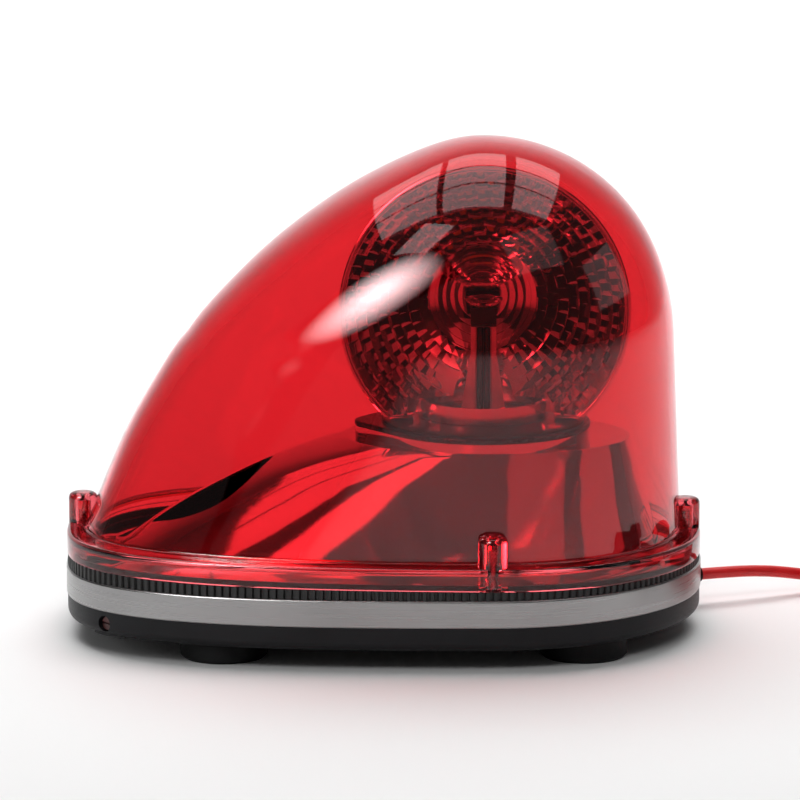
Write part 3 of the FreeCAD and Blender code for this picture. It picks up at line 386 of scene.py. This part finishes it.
def lens_material():
    """Transparent red moulding. Lamp light passes it straight, tinted the same."""
    m, nt, b, out = new_mat("red_lens")
    slow = noise(nt, 18.0, 2.0)
    c = ramp(nt, slow.outputs["Fac"], [(0.2, tuple(0.97 * t for t in LENS_TINT)), (0.8, LENS_TINT)])
    nt.links.new(c.outputs[0], b.inputs["Base Color"])
    b.inputs["Transmission Weight"].default_value = 1.0
    b.inputs["IOR"].default_value = 1.49
    b.inputs["Roughness"].default_value = 0.0
    lp = nt.nodes.new("ShaderNodeLightPath")
    add = nt.nodes.new("ShaderNodeMath")
    add.operation = "MAXIMUM"
    nt.links.new(lp.outputs["Is Shadow Ray"], add.inputs[0])
    nt.links.new(lp.outputs["Is Diffuse Ray"], add.inputs[1])
    tr = nt.nodes.new("ShaderNodeBsdfTransparent")
    tr.inputs["Color"].default_value = (*[0.96 * math.sqrt(t) for t in LENS_TINT], 1)
    mix = nt.nodes.new("ShaderNodeMixShader")
    nt.links.new(add.outputs[0], mix.inputs[0])
    nt.links.new(b.outputs[0], mix.inputs[1])
    nt.links.new(tr.outputs[0], mix.inputs[2])
    nt.links.new(mix.outputs[0], out.inputs[0])
    return m


M["lens"] = lens_material()


def clear_material():
    m, nt, b, out = new_mat("clear_optic")
    n = noise(nt, 200.0, 2.0)
    c = ramp(nt, n.outputs["Fac"], [(0.2, (0.90, 0.91, 0.92)), (0.8, (0.96, 0.96, 0.97))])
    nt.links.new(c.outputs[0], b.inputs["Base Color"])
    b.inputs["Transmission Weight"].default_value = 1.0
    b.inputs["IOR"].default_value = 1.49
    b.inputs["Roughness"].default_value = 0.04
    return m


M["clear"] = clear_material()

SLOTS = {s["node"]: s["material_slot"] for s in frame["record"]["subparts"]}
for name, o in NODES.items():
    mat = M.get(SLOTS.get(name))
    if mat:
        if not o.material_slots:
            o.data.materials.append(mat)
        for sl in o.material_slots:
            sl.material = mat


def finish(o, slot, body="beacon"):
    o.data.materials.clear()
    o.data.materials.append(M[slot])
    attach(o, body)
    return o


# ---------------------------------------------------------------- camera and light
CAM_XYZ = ((-33.5 + PX) * MM, -2.000, 0.4732)
CAM_PITCH, CAM_F = 0.19, 5286.5
cam = bpy.data.cameras.new("camera")
cam.sensor_width = 36.0
cam.lens = CAM_F / 800 * 36.0
cam.clip_end = 30
camo = bpy.data.objects.new("camera", cam)
COL.objects.link(camo)
camo.location = CAM_XYZ
camo.rotation_euler = (math.pi / 2 - CAM_PITCH, 0, 0)
SC.camera = camo
SC.view_settings.view_transform = "Standard"

# ---------------------------------------------------------------- the lead
CORD_D = 4.6
CORD_Z = 12.1
ca, sa = math.cos(math.radians(22.0)), math.sin(math.radians(22.0))
COIL_C, COIL_R = (210.0, 40.0), 27.6
PLX, PLY, PLZ = COIL_C[0] + 34.0, COIL_C[1] - 33.0, 12.7
PITCH = 4.75
route = [
    (PX + 86 * ca, 86 * sa, CORD_Z),
    (PX + 103.5 * ca, 103.5 * sa, CORD_Z),
    (153.0, 46.6, 10.8),
    (171.5, 56.2, 6.4),
]
NT = 14                                    # points on each turn
radii = [COIL_R + PITCH * (k - 1.5) for k in range(4)]
coil = []
a0, turns = math.radians(124.0), 16 + (124.0 + 4.0) / 360.0
steps = int(round(turns * NT))
for k in range(steps + 1):
    t = k / steps * turns                  # turns so far
    layer = min(int(t / 4.03), 3)
    f = t - layer * 4.03
    col = f * 3 / 4.03 + 0.0
    inward = layer % 2 == 0
    col = min(max(f - 0.0, 0.0), 3.0) if f <= 3.0 else 3.0
    if f > 3.3:                            # the last part of a layer lifts to the next one
        lift = min((f - 3.3) / 0.7, 1.0)
    else:
        lift = 0.0
    if layer == 3:
        lift = 0.0
    r = radii[3] - PITCH * col if inward else radii[0] + PITCH * col
    z = 2.45 + PITCH * (layer + lift)
    a = a0 - 2 * math.pi * t
    grow = 1 / (0.75 + 0.25 * math.cos(2 * math.pi / NT))
    coil.append((COIL_C[0] + r * grow * math.cos(a), COIL_C[1] + r * grow * math.sin(a), z))
tail = [(COIL_C[0] + 34.6, COIL_C[1] - 16.0, 14.9), (PLX, PLY + 3.0, PLZ), (PLX, PLY - 1.0, PLZ)]
points = route + coil[1:] + tail
curve = bpy.data.curves.new("lead_curve", "CURVE")
curve.dimensions = "3D"
curve.bevel_depth = CORD_D / 2 * MM
curve.bevel_resolution = 6
curve.resolution_u = 6
curve.use_fill_caps = True
sp = curve.splines.new("NURBS")
sp.points.add(len(points) - 1)
for p, c in zip(sp.points, points):
    p.co = (c[0] * MM, c[1] * MM, c[2] * MM, 1)
sp.order_u = 3
sp.use_endpoint_u = True
lead = bpy.data.objects.new("lead", curve)
COL.objects.link(lead)
finish(lead, "cord")
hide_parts("power_cord", "cord_coil", "cord_tail")

# a tie of black strap round the coil's bundle, away from the view
tie_rows = []
ta = math.radians(-60.0)
tc_, ts_ = math.cos(ta), math.sin(ta)
hw, hh, rr = 9.9, 9.9, 2.0
loop = []
for cx_, cz_, q in ((1, 1, 0), (-1, 1, 90), (-1, -1, 180), (1, -1, 270)):
    for k in range(6):
        a = math.radians(q + 90 * k / 5)
        loop.append((cx_ * (hw - rr) + rr * math.cos(a), cz_ * (hh - rr) + rr * math.sin(a)))
for w, grow in ((-1.6, 0.0), (-1.6, 0.55), (-1.2, 0.75), (1.2, 0.75), (1.6, 0.55), (1.6, 0.0)):
    row = []
    for u, v in loop:
        g = 1 + grow / 10.0
        R = COIL_R + u * g
        zz = max(9.75 + v * g, 0.12)
        row.append((COIL_C[0] + R * tc_ - w * ts_, COIL_C[1] + R * ts_ + w * tc_, zz))
    tie_rows.append(row)
tie = grid_shell("coil_tie", tie_rows, closed_rows=True)
finish(tie, "plug")

# tapered grommet with rings where the lead leaves the housing
prof = [(2.31, 86.0), (5.2, 81.4)]
gp = [(3.05, 78.0), (3.05, 82.55), (4.2, 82.55), (4.38, 82.7), (4.38, 83.2), (4.2, 83.5)]
for k in range(4):
    h = 84.0 + k * 1.75
    r = 3.9 - 0.17 * k
    gp += [(r - 0.4, h), (r - 0.4, h + 0.35), (r, h + 0.6), (r, h + 1.25), (r - 0.2, h + 1.45)]
gp += [(3.0, 91.2), (2.8, 91.5), (2.33, 91.5), (2.33, 78.0)]
grom = lathe("lead_grommet", gp, (PX, 0, CORD_Z), axis=(ca, sa, 0), side=(0, 0, 1), n=40, sharp=40)
finish(grom, "black_rubber")
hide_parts("cord_grommet")


# ---------------------------------------------------------------- lens
KK = [0, 0.2615, 0.523, 0.7845, 1, 1.1333, 1.2778, 1.4222, 1.5556, 1.6889, 1.8333, 2]
GG = [2.0199, 1.9325, 1.8323, 1.6946, 1.5481, 1.4104, 1.2749, 1.1468, 1.0365, 0.9235, 0.8464, 0.8464]
g_of = spline_fn(KK, GG, flat_end=True)
SIDE = 0.9445
LENS_T = 2.5


def dome(s, phi):
    if s <= 1:
        z, R = 40 + 76.48 * s, 76.08 - 2.96 * s
    else:
        th = (s - 1) * math.pi / 2
        z, R = 116.48 + 74.61 * math.sin(th), 73.12 * math.cos(th) - 2.887 * math.sin(th) * math.cos(th) ** 10
    F, n = R * g_of(min(s, 2.0)), 2.1 + 0.6 * (1 - min(max(s, 0.0), 1.0)) ** 1.5
    half = R * SIDE
    c, t = math.cos(phi), math.sin(phi)
    if c >= 0:
        r = 1 / math.sqrt((c / R) ** 2 + (t / half) ** 2)
    else:
        r = ((abs(c) / F) ** n + (abs(t) / half) ** n) ** (-1 / n)
    return Vector((AX + r * c, r * t, z))


def dome_normal(s, phi):
    e = 1e-3
    u = dome(s, phi + e) - dome(s, phi - e)
    lo, hi = max(s - e, 0.0), min(s + e, 1.9995)
    v = dome(hi, phi) - dome(lo, phi)
    return u.cross(v).normalized()


NP = 288
PH = [2 * math.pi * (k + 0.5) / NP for k in range(NP)]
s_rows = [0.0, 0.06, 0.14, 0.24, 0.36, 0.48, 0.6, 0.7, 0.8, 0.88, 0.94, 1.0] + [1 + 0.032 * k for k in range(1, 31)] + [1.972, 1.984, 1.992]


def lean_z(z, x):
    return z - LEAN * (x - PX)


def flange_pt(phi, inset, z):
    x, y = plan_offset(phi, inset)
    return Vector((x, y, lean_z(z, x)))


def plan_angle(p):
    return math.atan2(p[1], p[0] - PX)


rows = []
for s in reversed(s_rows):
    rows.append([dome(s, p) for p in PH])
base_ring = [dome(0.0, p) for p in PH]
base_norm = [dome_normal(0.0, p) for p in PH]
for dr, dz in ((0.02, 0.9), (0.12, 0.45), (0.35, 0.15), (0.8, 0.0)):
    rows.append([Vector((b.x + n.x * dr, b.y + n.y * dr, lean_z(Z_FLANGE + dz, b.x))) for b, n in zip(base_ring, base_norm)])
top_in = rows[-1]
edge = [flange_pt(p, 1.7, Z_FLANGE) for p in PH]
for f in (0.33, 0.66):
    rows.append([a.lerp(b, f) for a, b in zip(top_in, edge)])
rows.append(edge)
for k in range(1, 7):
    a = math.radians(90 - 15 * k)
    rows.append([flange_pt(p, 0.3 + 1.3 * (1 - math.cos(a)), Z_FLANGE - 1.3 + 1.3 * math.sin(a)) for p in PH])
rows.append([flange_pt(p, 0.30, Z_FLANGE - 3.0) for p in PH])
rows.append([flange_pt(p, 0.30, Z_SEAL + 0.55) for p in PH])
rows.append([flange_pt(p, 0.42, Z_SEAL + 0.20) for p in PH])
rows.append([flange_pt(p, 0.75, Z_SEAL + 0.04) for p in PH])
rows.append([flange_pt(p, 1.1, Z_SEAL + 0.02) for p in PH])
rows.append([flange_pt(p, 2.9, Z_SEAL + 0.02) for p in PH])
rows.append([flange_pt(p, 3.3, Z_SEAL + 0.4) for p in PH])
rows.append([flange_pt(p, 3.3, 36.0) for p in PH])
rows.append([flange_pt(p, 3.6, 36.5) for p in PH])
inner_ring = [b - n * LENS_T for b, n in zip(base_ring, base_norm)]
low_in = [Vector((q.x, q.y, lean_z(36.6, q.x))) for q in inner_ring]
rows.append([a.lerp(b, 0.90) for a, b in zip([flange_pt(p, 3.9, 36.6) for p in PH], low_in)])
rows.append([Vector((q.x, q.y, lean_z(37.2, q.x))) for q in inner_ring])
for s in s_rows:
    rows.append([dome(s, p) - dome_normal(s, p) * LENS_T for p in PH])
lens = grid_shell("lens", rows, poles=(Vector((AX, 0, 191.09)), Vector((AX, 0, 191.09 - LENS_T))), sharp=38)
bosses = []
for x, y in BOLTS:
    cx, cz = PX + x, lean_z(0, PX + x)
    top, r = BOSS_TOP + cz, BOSS_R
    prof = [(0, 37.6 + cz), (r - 0.02, 37.6 + cz), (r, top - 2.2), (r - 0.15, top - 1.5), (r - 0.5, top - 0.85), (r - 1.1, top - 0.35), (r - 1.9, top - 0.06), (r - 2.6, top), (0, top)]
    bosses.append(lathe("boss", prof, (cx, y, 0), n=48))
holes = []
for x, y in BOLTS:
    cx, cz = PX + x, lean_z(0, PX + x)
    holes.append(lathe("hole", [(0, 28 + cz), (2.0, 28 + cz), (2.0, BOSS_TOP - 3.2 + cz), (0, BOSS_TOP - 2.4 + cz)], (cx, y, 0), n=32))
for sy in (-1, 1):
    y0, y1 = sorted((sy * 76.5, sy * 84.0))
    holes.append(prism("notch", [(PX - 1.6, y0), (PX + 4.2, y0), (PX + 4.2, y1), (PX - 1.6, y1)], 28.0, lean_z(Z_SEAL + 1.25, PX)))
boolean(lens, joined("bosses", bosses), "UNION")
boolean(lens, joined("holes", holes), "DIFFERENCE")
tidy(lens, 38)
finish(lens, "lens")
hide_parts("lens_cover")

# ---------------------------------------------------------------- shroud
SHROUD = [
    (29.65, 146.0, 70.0, 68.4), (36.0, 135.2, 68.0, 63.8), (41.3, 127.4, 66.3, 60.6), (48.0, 116.8, 64.2, 56.6),
    (54.0, 106.0, 62.2, 53.0), (60.0, 94.4, 60.4, 49.4), (65.8, 82.3, 58.9, 46.0), (70.5, 70.3, 57.6, 43.2),
    (73.6, 60.6, 56.9, 41.4), (75.55, 53.6, 56.5, 40.3),
]
fn, fr, fh = [spline_fn([r[0] for r in SHROUD], [r[i] for r in SHROUD]) for i in (1, 2, 3)]


def shroud_pt(z, phi, grow=0.0):
    nose, rear, half = fn(z) + grow, fr(z) + grow, fh(z) + grow
    n = 2.0 + 0.62 * (75.5 - z) / 46.0
    c, s = math.cos(phi), math.sin(phi)
    if c >= 0:
        r = 1 / math.sqrt((c / rear) ** 2 + (s / half) ** 2)
    else:
        r = ((abs(c) / nose) ** n + (abs(s) / half) ** n) ** (-1 / n)
    return Vector((AX + r * c, r * s, z))


PEGS = [(-27.0, 69.5), (-27.0, -69.5), (18.5, 67.3), (18.5, -67.3)]
zs = [31.38] + [29.65 + (75.4 - 29.65) * k / 26 for k in range(2, 27)]
def base_pt(inset, phi, z):
    """The edge of the base flange, where a ray at phi from the rotor's axis leaves it."""
    lo, hi = 20.0, 170.0
    c, s = math.cos(phi), math.sin(phi)
    for _ in range(36):
        q = (lo + hi) / 2
        x, y = q * c + AX - PX, q * s
        lim = (x / (REAR - inset)) ** 2 + (y / (HALF_W - inset)) ** 2 if x >= 0 else (abs(x) / (NOSE - inset)) ** NOSE_POW + (abs(y) / (HALF_W - inset)) ** SIDE_POW
        if lim > 1:
            hi = q
        else:
            lo = q
    return Vector((AX + q * c, q * s, z))


rows = []
rows.append([base_pt(9.0, p, 29.70) for p in PH])
rows.append([base_pt(9.0, p, 31.25) for p in PH])
rows.append([base_pt(9.3, p, 31.38) for p in PH])
rows.append([base_pt(9.3, p, 31.38).lerp(shroud_pt(31.38, p, 0.25), 0.9) for p in PH])
rows.append([shroud_pt(31.38, p, 0.15) for p in PH])
for z in zs[1:]:
    rows.append([shroud_pt(z, p) for p in PH])
rows.append([shroud_pt(75.4, p, -0.35) + Vector((0, 0, 0.15)) for p in PH])
rows.append([shroud_pt(75.4, p, -1.2) + Vector((0, 0, 0.15)) for p in PH])


def egg(r_big, r_small, phi):
    """Where a ray at phi from the rotor's axis leaves the hull of the two circles."""
    d = -40.2
    best = r_big
    c, s = math.cos(phi), math.sin(phi)
    disc = (d * c) ** 2 - (d * d - r_small * r_small)
    if disc > 0 and d * c > 0:
        best = max(best, d * c + math.sqrt(disc))
    sn = (r_big - r_small) / 40.2
    cs = math.sqrt(1 - sn * sn)
    # tangent lines: outward normal (-sn, +-cs), distance r_big from the axis
    for sg in (-1, 1):
        k = -sn * c + sg * cs * s
        if k > 1e-6:
            q = r_big / k
            x, y = q * c, q * s
            along = x * -cs + y * sg * -sn
            along = -(x * cs + y * sg * sn)
            if 0 <= along <= 40.2 * cs + 0.01:
                best = max(best, q)
    return best


def egg_ring(r_big, r_small, z):
    return [Vector((AX + egg(r_big, r_small, p) * math.cos(p), egg(r_big, r_small, p) * math.sin(p), z)) for p in PH]


rows.append([a.lerp(b, 0.6) for a, b in zip(rows[-1], egg_ring(41.4, 9.5, 75.55))])
rows.append(egg_ring(41.3, 9.4, 75.55))
rows.append(egg_ring(41.0, 9.1, 75.75))
rows.append(egg_ring(41.0, 9.1, 79.2))
rows.append(egg_ring(40.7, 8.8, 79.45))
rows.append(egg_ring(39.5, 8.2, 79.45))
rows.append(egg_ring(39.2, 7.9, 79.2))
rows.append(egg_ring(39.2, 7.9, 73.6))
rows.append([shroud_pt(73.4, p, -2.6) for p in PH])
for z in reversed(zs[1:-2]):
    rows.append([shroud_pt(z, p, -2.0) for p in PH])
rows.append([shroud_pt(29.65, p, -2.0) for p in PH])
shroud = grid_shell("shroud", rows, closed_rows=True, sharp=32)
leaf_pts = [(-129.0, -0.5), (-126.0, -9.0), (-120.0, -17.5), (-111.5, -22.6), (-103.0, -23.4), (-95.5, -20.0), (-88.0, -11.5), (-82.5, 1.5), (-90.0, 3.3), (-101.0, 4.0), (-112.0, 3.6), (-122.0, 2.0)]
lp_ = leaf_pts
dense = []
for i in range(len(lp_)):
    p0, p1, p2, p3 = [Vector(lp_[(i + j) % len(lp_)]) for j in (-1, 0, 1, 2)]
    for k in range(8):
        t = k / 8
        dense.append(0.5 * ((2 * p1) + (-p0 + p2) * t + (2 * p0 - 5 * p1 + 4 * p2 - p3) * t * t + (-p0 + 3 * p1 - 3 * p2 + p3) * t ** 3))
leaf = prism("leaf", [(PX + d.x, d.y) for d in dense], 36.0, 90.0)
boolean(shroud, leaf, "DIFFERENCE")
boolean(shroud, joined("boss_notches", [lathe("n", [(0, 28.0), (6.4, 28.0), (6.4, 36.0), (0, 36.0)], (PX + x, y, 0), n=48) for x, y in BOLTS]), "DIFFERENCE")
boolean(shroud, joined("peg_holes", [lathe("n", [(0, 28.0), (1.3, 28.0), (1.3, 33.0), (0, 33.0)], (PX + x, y, 0), n=24) for x, y in PEGS]), "DIFFERENCE")
tidy(shroud, 32)
finish(shroud, "shroud")
# the inside of the shroud is bare black moulding
shroud.data.materials.append(M["case"])
for f in shroud.data.polygons:
    q = f.center / MM
    if 31.45 < q.z < 79.0:
        ph = math.atan2(q.y, q.x - AX)
        edge_r = (shroud_pt(min(q.z, 75.4), ph) - Vector((AX, 0, min(q.z, 75.4)))).length
        if q.z > 75.4:
            edge_r = egg(41.0, 9.1, ph)
        if math.hypot(q.x - AX, q.y) < edge_r - 0.6 and (q.z < 73.5 or math.hypot(q.x - AX, q.y) < egg(40.2, 8.5, ph)):
            f.material_index = 1
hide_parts("inner_shroud")


# ---------------------------------------------------------------- reflector
def dish_y(r):
    return DISH_F - r * r / (4 * DISH_F)


verts, faces = [], []


def dish_point(r, a, lift=0.0):
    """A point on the mirror at radius r and angle a about the dish's axis, lifted towards the front."""
    slope = r / (2 * DISH_F)
    n = math.hypot(1, slope)
    rr_, yy = r - lift * slope / n, dish_y(r) - lift / n
    return (AX + rr_ * math.cos(a), yy, DISH_Z + rr_ * math.sin(a))


edges_r = [21.0]
while edges_r[-1] < 52.6:
    edges_r.append(edges_r[-1] + 4.06)
edges_r[-1] = 53.5
rng = np.random.RandomState(7)
SUB = 3
for i in range(len(edges_r) - 1):
    r0, r1 = edges_r[i], edges_r[i + 1]
    n_cell = int(round(2 * math.pi * (r0 + r1) / 2 / 4.9))
    off = (i % 2) * 0.5
    gap = 0.05
    for c in range(n_cell):
        a_lo, a_hi = 2 * math.pi * (c + off) / n_cell, 2 * math.pi * (c + 1 + off) / n_cell
        tilt_r, tilt_a = rng.uniform(-0.16, 0.16), rng.uniform(-0.16, 0.16)
        crown = 0.13 + 0.07 * rng.rand()
        base = len(verts)
        for u in range(SUB + 1):
            for v in range(SUB + 1):
                fu, fv = u / SUB, v / SUB
                bulge = crown * (1 - (2 * fu - 1) ** 2) * (1 - (2 * fv - 1) ** 2)
                edge_ = 0.0 if (0 < u < SUB and 0 < v < SUB) else 0.0
                lift = 0.10 + bulge + tilt_r * (fu - 0.5) * 1.2 + tilt_a * (fv - 0.5) * 1.2 + edge_
                verts.append(dish_point(r0 + (r1 - r0) * (gap + (1 - 2 * gap) * fu) if False else r0 + (r1 - r0) * fu, a_lo + (a_hi - a_lo) * fv, max(lift, 0.0)))
        for u in range(SUB):
            for v in range(SUB):
                q = base + u * (SUB + 1) + v
                faces.append((q, q + 1, q + SUB + 2, q + SUB + 1))
facet = mesh_object("reflector_facets", [Vector(v) * MM for v in verts], faces, smooth=True)
# facets beyond the dish's cut-outs go
bm = bmesh.new()
bm.from_mesh(facet.data)
bm.faces.ensure_lookup_table()
islands, seen = [], set()
for f in bm.faces:
    if f.index in seen:
        continue
    stack, grp = [f], []
    seen.add(f.index)
    while stack:
        q = stack.pop()
        grp.append(q)
        for e in q.edges:
            for l in e.link_faces:
                if l.index not in seen:
                    seen.add(l.index)
                    stack.append(l)
    islands.append(grp)
kill = []
for grp in islands:
    bad = False
    for f in grp:
        for v in f.verts:
            x, y, z = [q / MM for q in v.co]
            rad = math.hypot(x - AX, y)
            if z < 86.3 or (rad < 12.0 and z < 110.6) or (rad < 25.9 and z < 90.8):
                bad = True
    if bad:
        kill += grp
bmesh.ops.delete(bm, geom=kill, context="FACES")
# each facet becomes a thin closed tile, so the mesh has no open edges
bm.to_mesh(facet.data)
bm.free()
sol = facet.modifiers.new("t", "SOLIDIFY")
sol.thickness = 0.45 * MM
sol.offset = -1 if True else 1
bpy.context.view_layer.update()
dg = bpy.context.evaluated_depsgraph_get()
me = bpy.data.meshes.new_from_object(facet.evaluated_get(dg))
facet.modifiers.clear()
facet.data = me
tidy(facet, 28)
finish(facet, "reflector", "rotor")

# smooth dish behind the facets, with stepped rings round the hub and a thin rim
NR = 96


def dish_row(r, back=False, y=None):
    slope = r / (2 * DISH_F)
    n = math.hypot(1, slope)
    rr_, yy = (r + DISH_T * slope / n, dish_y(r) + DISH_T / n) if back else (r, dish_y(r))
    if y is not None:
        yy = y
    return [Vector((AX + rr_ * math.cos(2 * math.pi * (k + 0.5) / NR), yy, DISH_Z + rr_ * math.sin(2 * math.pi * (k + 0.5) / NR))) for k in range(NR)]


rows = []
hub_r = [6.5, 6.6, 9.6, 9.7, 12.6, 12.7, 15.6, 15.7, 18.6, 18.7, 20.9, 21.0]
for k, r in enumerate(hub_r):
    step = (k + 1) // 2
    lift = 0.9 - 0.15 * step if k % 2 else 0.9 - 0.15 * step - 0.0
    rows.append([p + Vector((0, -(0.25 + 0.45 * (k % 2)), 0)) for p in dish_row(r)])
for r in [24 + 2.95 * k for k in range(10)]:
    rows.append([p + Vector((0, 0.02, 0)) for p in dish_row(r)])
rows.append([p + Vector((0, 0.0, 0)) for p in dish_row(53.5)])
ry = dish_y(DISH_R)
for r, y in ((54.0, ry + 0.15), (54.1, ry - 0.75), (54.35, ry - 1.1), (54.9, ry - 1.15), (55.3, ry - 0.95), (55.42, ry - 0.5), (55.42, ry + 0.3)):
    rows.append([Vector((AX + r * math.cos(2 * math.pi * (k + 0.5) / NR), y, DISH_Z + r * math.sin(2 * math.pi * (k + 0.5) / NR))) for k in range(NR)])
for r in [53.7, 51, 48, 44, 40, 36, 32, 28, 24, 20, 16, 12, 8, 4]:
    rows.append(dish_row(r, back=True))
dish = grid_shell("reflector_dish", rows, poles=(Vector((AX, dish_y(0) - 0.25, DISH_Z)), Vector((AX, DISH_F + DISH_T, DISH_Z))), sharp=30)
cutters = [
    prism("c1", [(AX - 80, -60), (AX + 80, -60), (AX + 80, 60), (AX - 80, 60)], 50.0, 86.0),
]
boolean(dish, cutters[0], "DIFFERENCE")
boolean(dish, lathe("c2", [(0, 70), (11.4, 70), (11.4, 110), (0, 110)], (AX, 0, 0), n=64), "DIFFERENCE")
boolean(dish, lathe("c3", [(0, 70), (25.25, 70), (25.25, 90.25), (0, 90.25)], (AX, 0, 0), n=96), "DIFFERENCE")
tidy(dish, 30)
finish(dish, "reflector", "rotor")
# feet of the dish on the turntable
ears = []
for side in (-1, 1):
    xs = sorted((AX + side * 27.0, AX + side * 36.0))
    ears.append(prism("ear", [(xs[0], -13.0), (xs[1], -13.0), (xs[1], -4.5), (xs[0], -4.5)], 83.22, 85.2))
    xs = sorted((AX + side * 29.2, AX + side * 30.7))
    ears.append(prism("web", [(xs[0], -12.5), (xs[1], -12.5), (xs[1], -4.5), (xs[0], -4.5)], 84.9, 89.9))
ear = joined("reflector_feet", ears)
ear.data.shade_flat()
bev = ear.modifiers.new("bev", "BEVEL")
bev.width = 0.35 * MM
bev.segments = 2
bpy.context.view_layer.update()
dg = bpy.context.evaluated_depsgraph_get()
me = bpy.data.meshes.new_from_object(ear.evaluated_get(dg))
ear.modifiers.clear()
ear.data = me
tidy(ear, 40)
finish(ear, "reflector", "rotor")
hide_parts("reflector")

# the lamp's flat two-core wire, up the channel of its post
wire = joined("lamp_wire", [lathe("w", [(0, 0), (1.25, 0.0), (1.25, 34.6), (0, 34.6)], (AX + dx, -2.2, 82.7), n=20) for dx in (-1.3, 1.3)])
tidy(wire, 40)
finish(wire, "parts")

# ---------------------------------------------------------------- stage and lights
floor_m, nt, b, _ = new_mat("pale_floor")
fn_ = noise(nt, 3.0, 2.0)
c = ramp(nt, fn_.outputs["Fac"], [(0.3, (0.86, 0.86, 0.86)), (0.7, (0.88, 0.88, 0.88))])
nt.links.new(c.outputs[0], b.inputs["Base Color"])
b.inputs["Roughness"].default_value = 0.9
b.inputs["Specular IOR Level"].default_value = 0.1
# floor with a curved rise behind
prof = [(-6.0, 0.0), (2.2, 0.0)] + [(2.2 + 1.2 * math.sin(a), 1.2 - 1.2 * math.cos(a)) for a in [math.radians(10 * k) for k in range(1, 9)]] + [(3.4, 1.2), (3.4, 5.0)]
verts = [(x, y, z) for x in (-6.0, 6.0) for y, z in prof]
n = len(prof)
faces = [(k, k + 1, n + k + 1, n + k) for k in range(n - 1)]
floor = mesh_object("floor", verts, faces)
floor.data.materials.append(floor_m)

world = bpy.data.worlds.new("world")
SC.world = world
world.use_nodes = True
bg = world.node_tree.nodes["Background"]
bg.inputs[0].default_value = (1, 1, 1, 1)
bg.inputs[1].default_value = 0.08


def area(name, loc, target, size, energy, color=(1, 1, 1), shape="RECTANGLE", spread=None, seen=True, lights=True):
    l = bpy.data.lights.new(name, "AREA")
    l.shape = shape
    l.size, l.size_y = size
    l.energy = energy
    l.color = color
    if spread:
        l.spread = spread
    o = bpy.data.objects.new(name, l)
    COL.objects.link(o)
    o.location = loc
    d = Vector(target) - Vector(loc)
    o.rotation_euler = d.to_track_quat("-Z", "Y").to_euler()
    o.visible_glossy = seen
    o.visible_transmission = seen
    o.visible_diffuse = lights
    return o


# an overhead window of nine panes, a medium box on the right, a wash on the backdrop
for i, (x0, x1) in enumerate(((-0.80, -0.34), (-0.29, 0.24), (0.33, 0.78))):
    for j, (y0, y1) in enumerate(((-0.24, 0.17), (0.20, 0.58), (0.61, 1.08))):
        w, d = x1 - x0, y1 - y0
        area("pane_%d%d" % (i, j), ((x0 + x1) / 2, (y0 + y1) / 2, 1.35), ((x0 + x1) / 2, (y0 + y1) / 2 + 0.0001, 0.0), (w, d), 1.75 * math.pi * w * d, lights=False)
area("key_overhead", (-0.1, 0.9, 1.9), (0, 0.75, 0), (2.4, 1.8), 52.0, seen=False)
area("backdrop_wash", (0.0, 1.5, 2.3), (0, 3.2, 0.8), (2.8, 0.8), 40.0, seen=False)
area("front_soft", (0.0, -1.4, 1.5), (0, -0.6, 0), (1.4, 0.7), 11.0, seen=False)
area("shroud_band", (-0.46, -0.60, 1.35), (-0.02, -0.05, 0.06), (0.34, 0.42), 2.3 * math.pi * 0.34 * 0.42, lights=False)
area("front_fill", (0.78, -0.90, 1.35), (0.05, -0.05, 0.06), (0.9, 0.7), 0.42 * math.pi * 0.9 * 0.7, lights=False)
area("right_fill", (1.35, -0.10, 0.62), (0.08, -0.04, 0.06), (0.7, 0.5), 0.55 * math.pi * 0.7 * 0.5, lights=False)
area("left_side", (-1.6, -0.3, 0.6), (0, 0, 0.06), (0.8, 0.7), 2.5, seen=False)

# a soft-edged reflector card on the left, in front
card_m = bpy.data.materials.new("soft_card")
card_m.use_nodes = True
nt = card_m.node_tree
nt.nodes.clear()
out = nt.nodes.new("ShaderNodeOutputMaterial")
em = nt.nodes.new("ShaderNodeEmission")
tc = nt.nodes.new("ShaderNodeTexCoord")
mp = nt.nodes.new("ShaderNodeMapping")
mp.inputs["Scale"].default_value = (1 / 0.62, 1 / 0.44, 1.0)
nt.links.new(tc.outputs["Object"], mp.inputs["Vector"])
gr = nt.nodes.new("ShaderNodeTexGradient")
gr.gradient_type = "SPHERICAL"
nt.links.new(mp.outputs[0], gr.inputs["Vector"])
pw = nt.nodes.new("ShaderNodeMath")
pw.operation = "POWER"
pw.inputs[1].default_value = 1.35
nt.links.new(gr.outputs["Fac"], pw.inputs[0])
ml = nt.nodes.new("ShaderNodeMath")
ml.operation = "MULTIPLY"
ml.inputs[1].default_value = 30.0
nt.links.new(pw.outputs[0], ml.inputs[0])
nt.links.new(ml.outputs[0], em.inputs["Strength"])
nt.links.new(em.outputs[0], out.inputs[0])
card = mesh_object("soft_card", [(-0.62, -0.44, 0), (0.62, -0.44, 0), (0.62, 0.44, 0), (-0.62, 0.44, 0)], [(0, 1, 2, 3)], smooth=False)
card.data.materials.append(card_m)
card_d = Vector((-0.53, -0.66, 0.54)).normalized()
card_t = Vector((0.705, -0.121, 0.684))
card_t = (card_t - card_d * card_t.dot(card_d)).normalized()
card_n = -card_d
card_s = card_n.cross(card_t)
card.matrix_world = Matrix(((card_t.x, card_s.x, card_n.x, -0.800), (card_t.y, card_s.y, card_n.y, -1.049), (card_t.z, card_s.z, card_n.z, 0.948), (0, 0, 0, 1)))
card.visible_camera = False
card.visible_diffuse = False
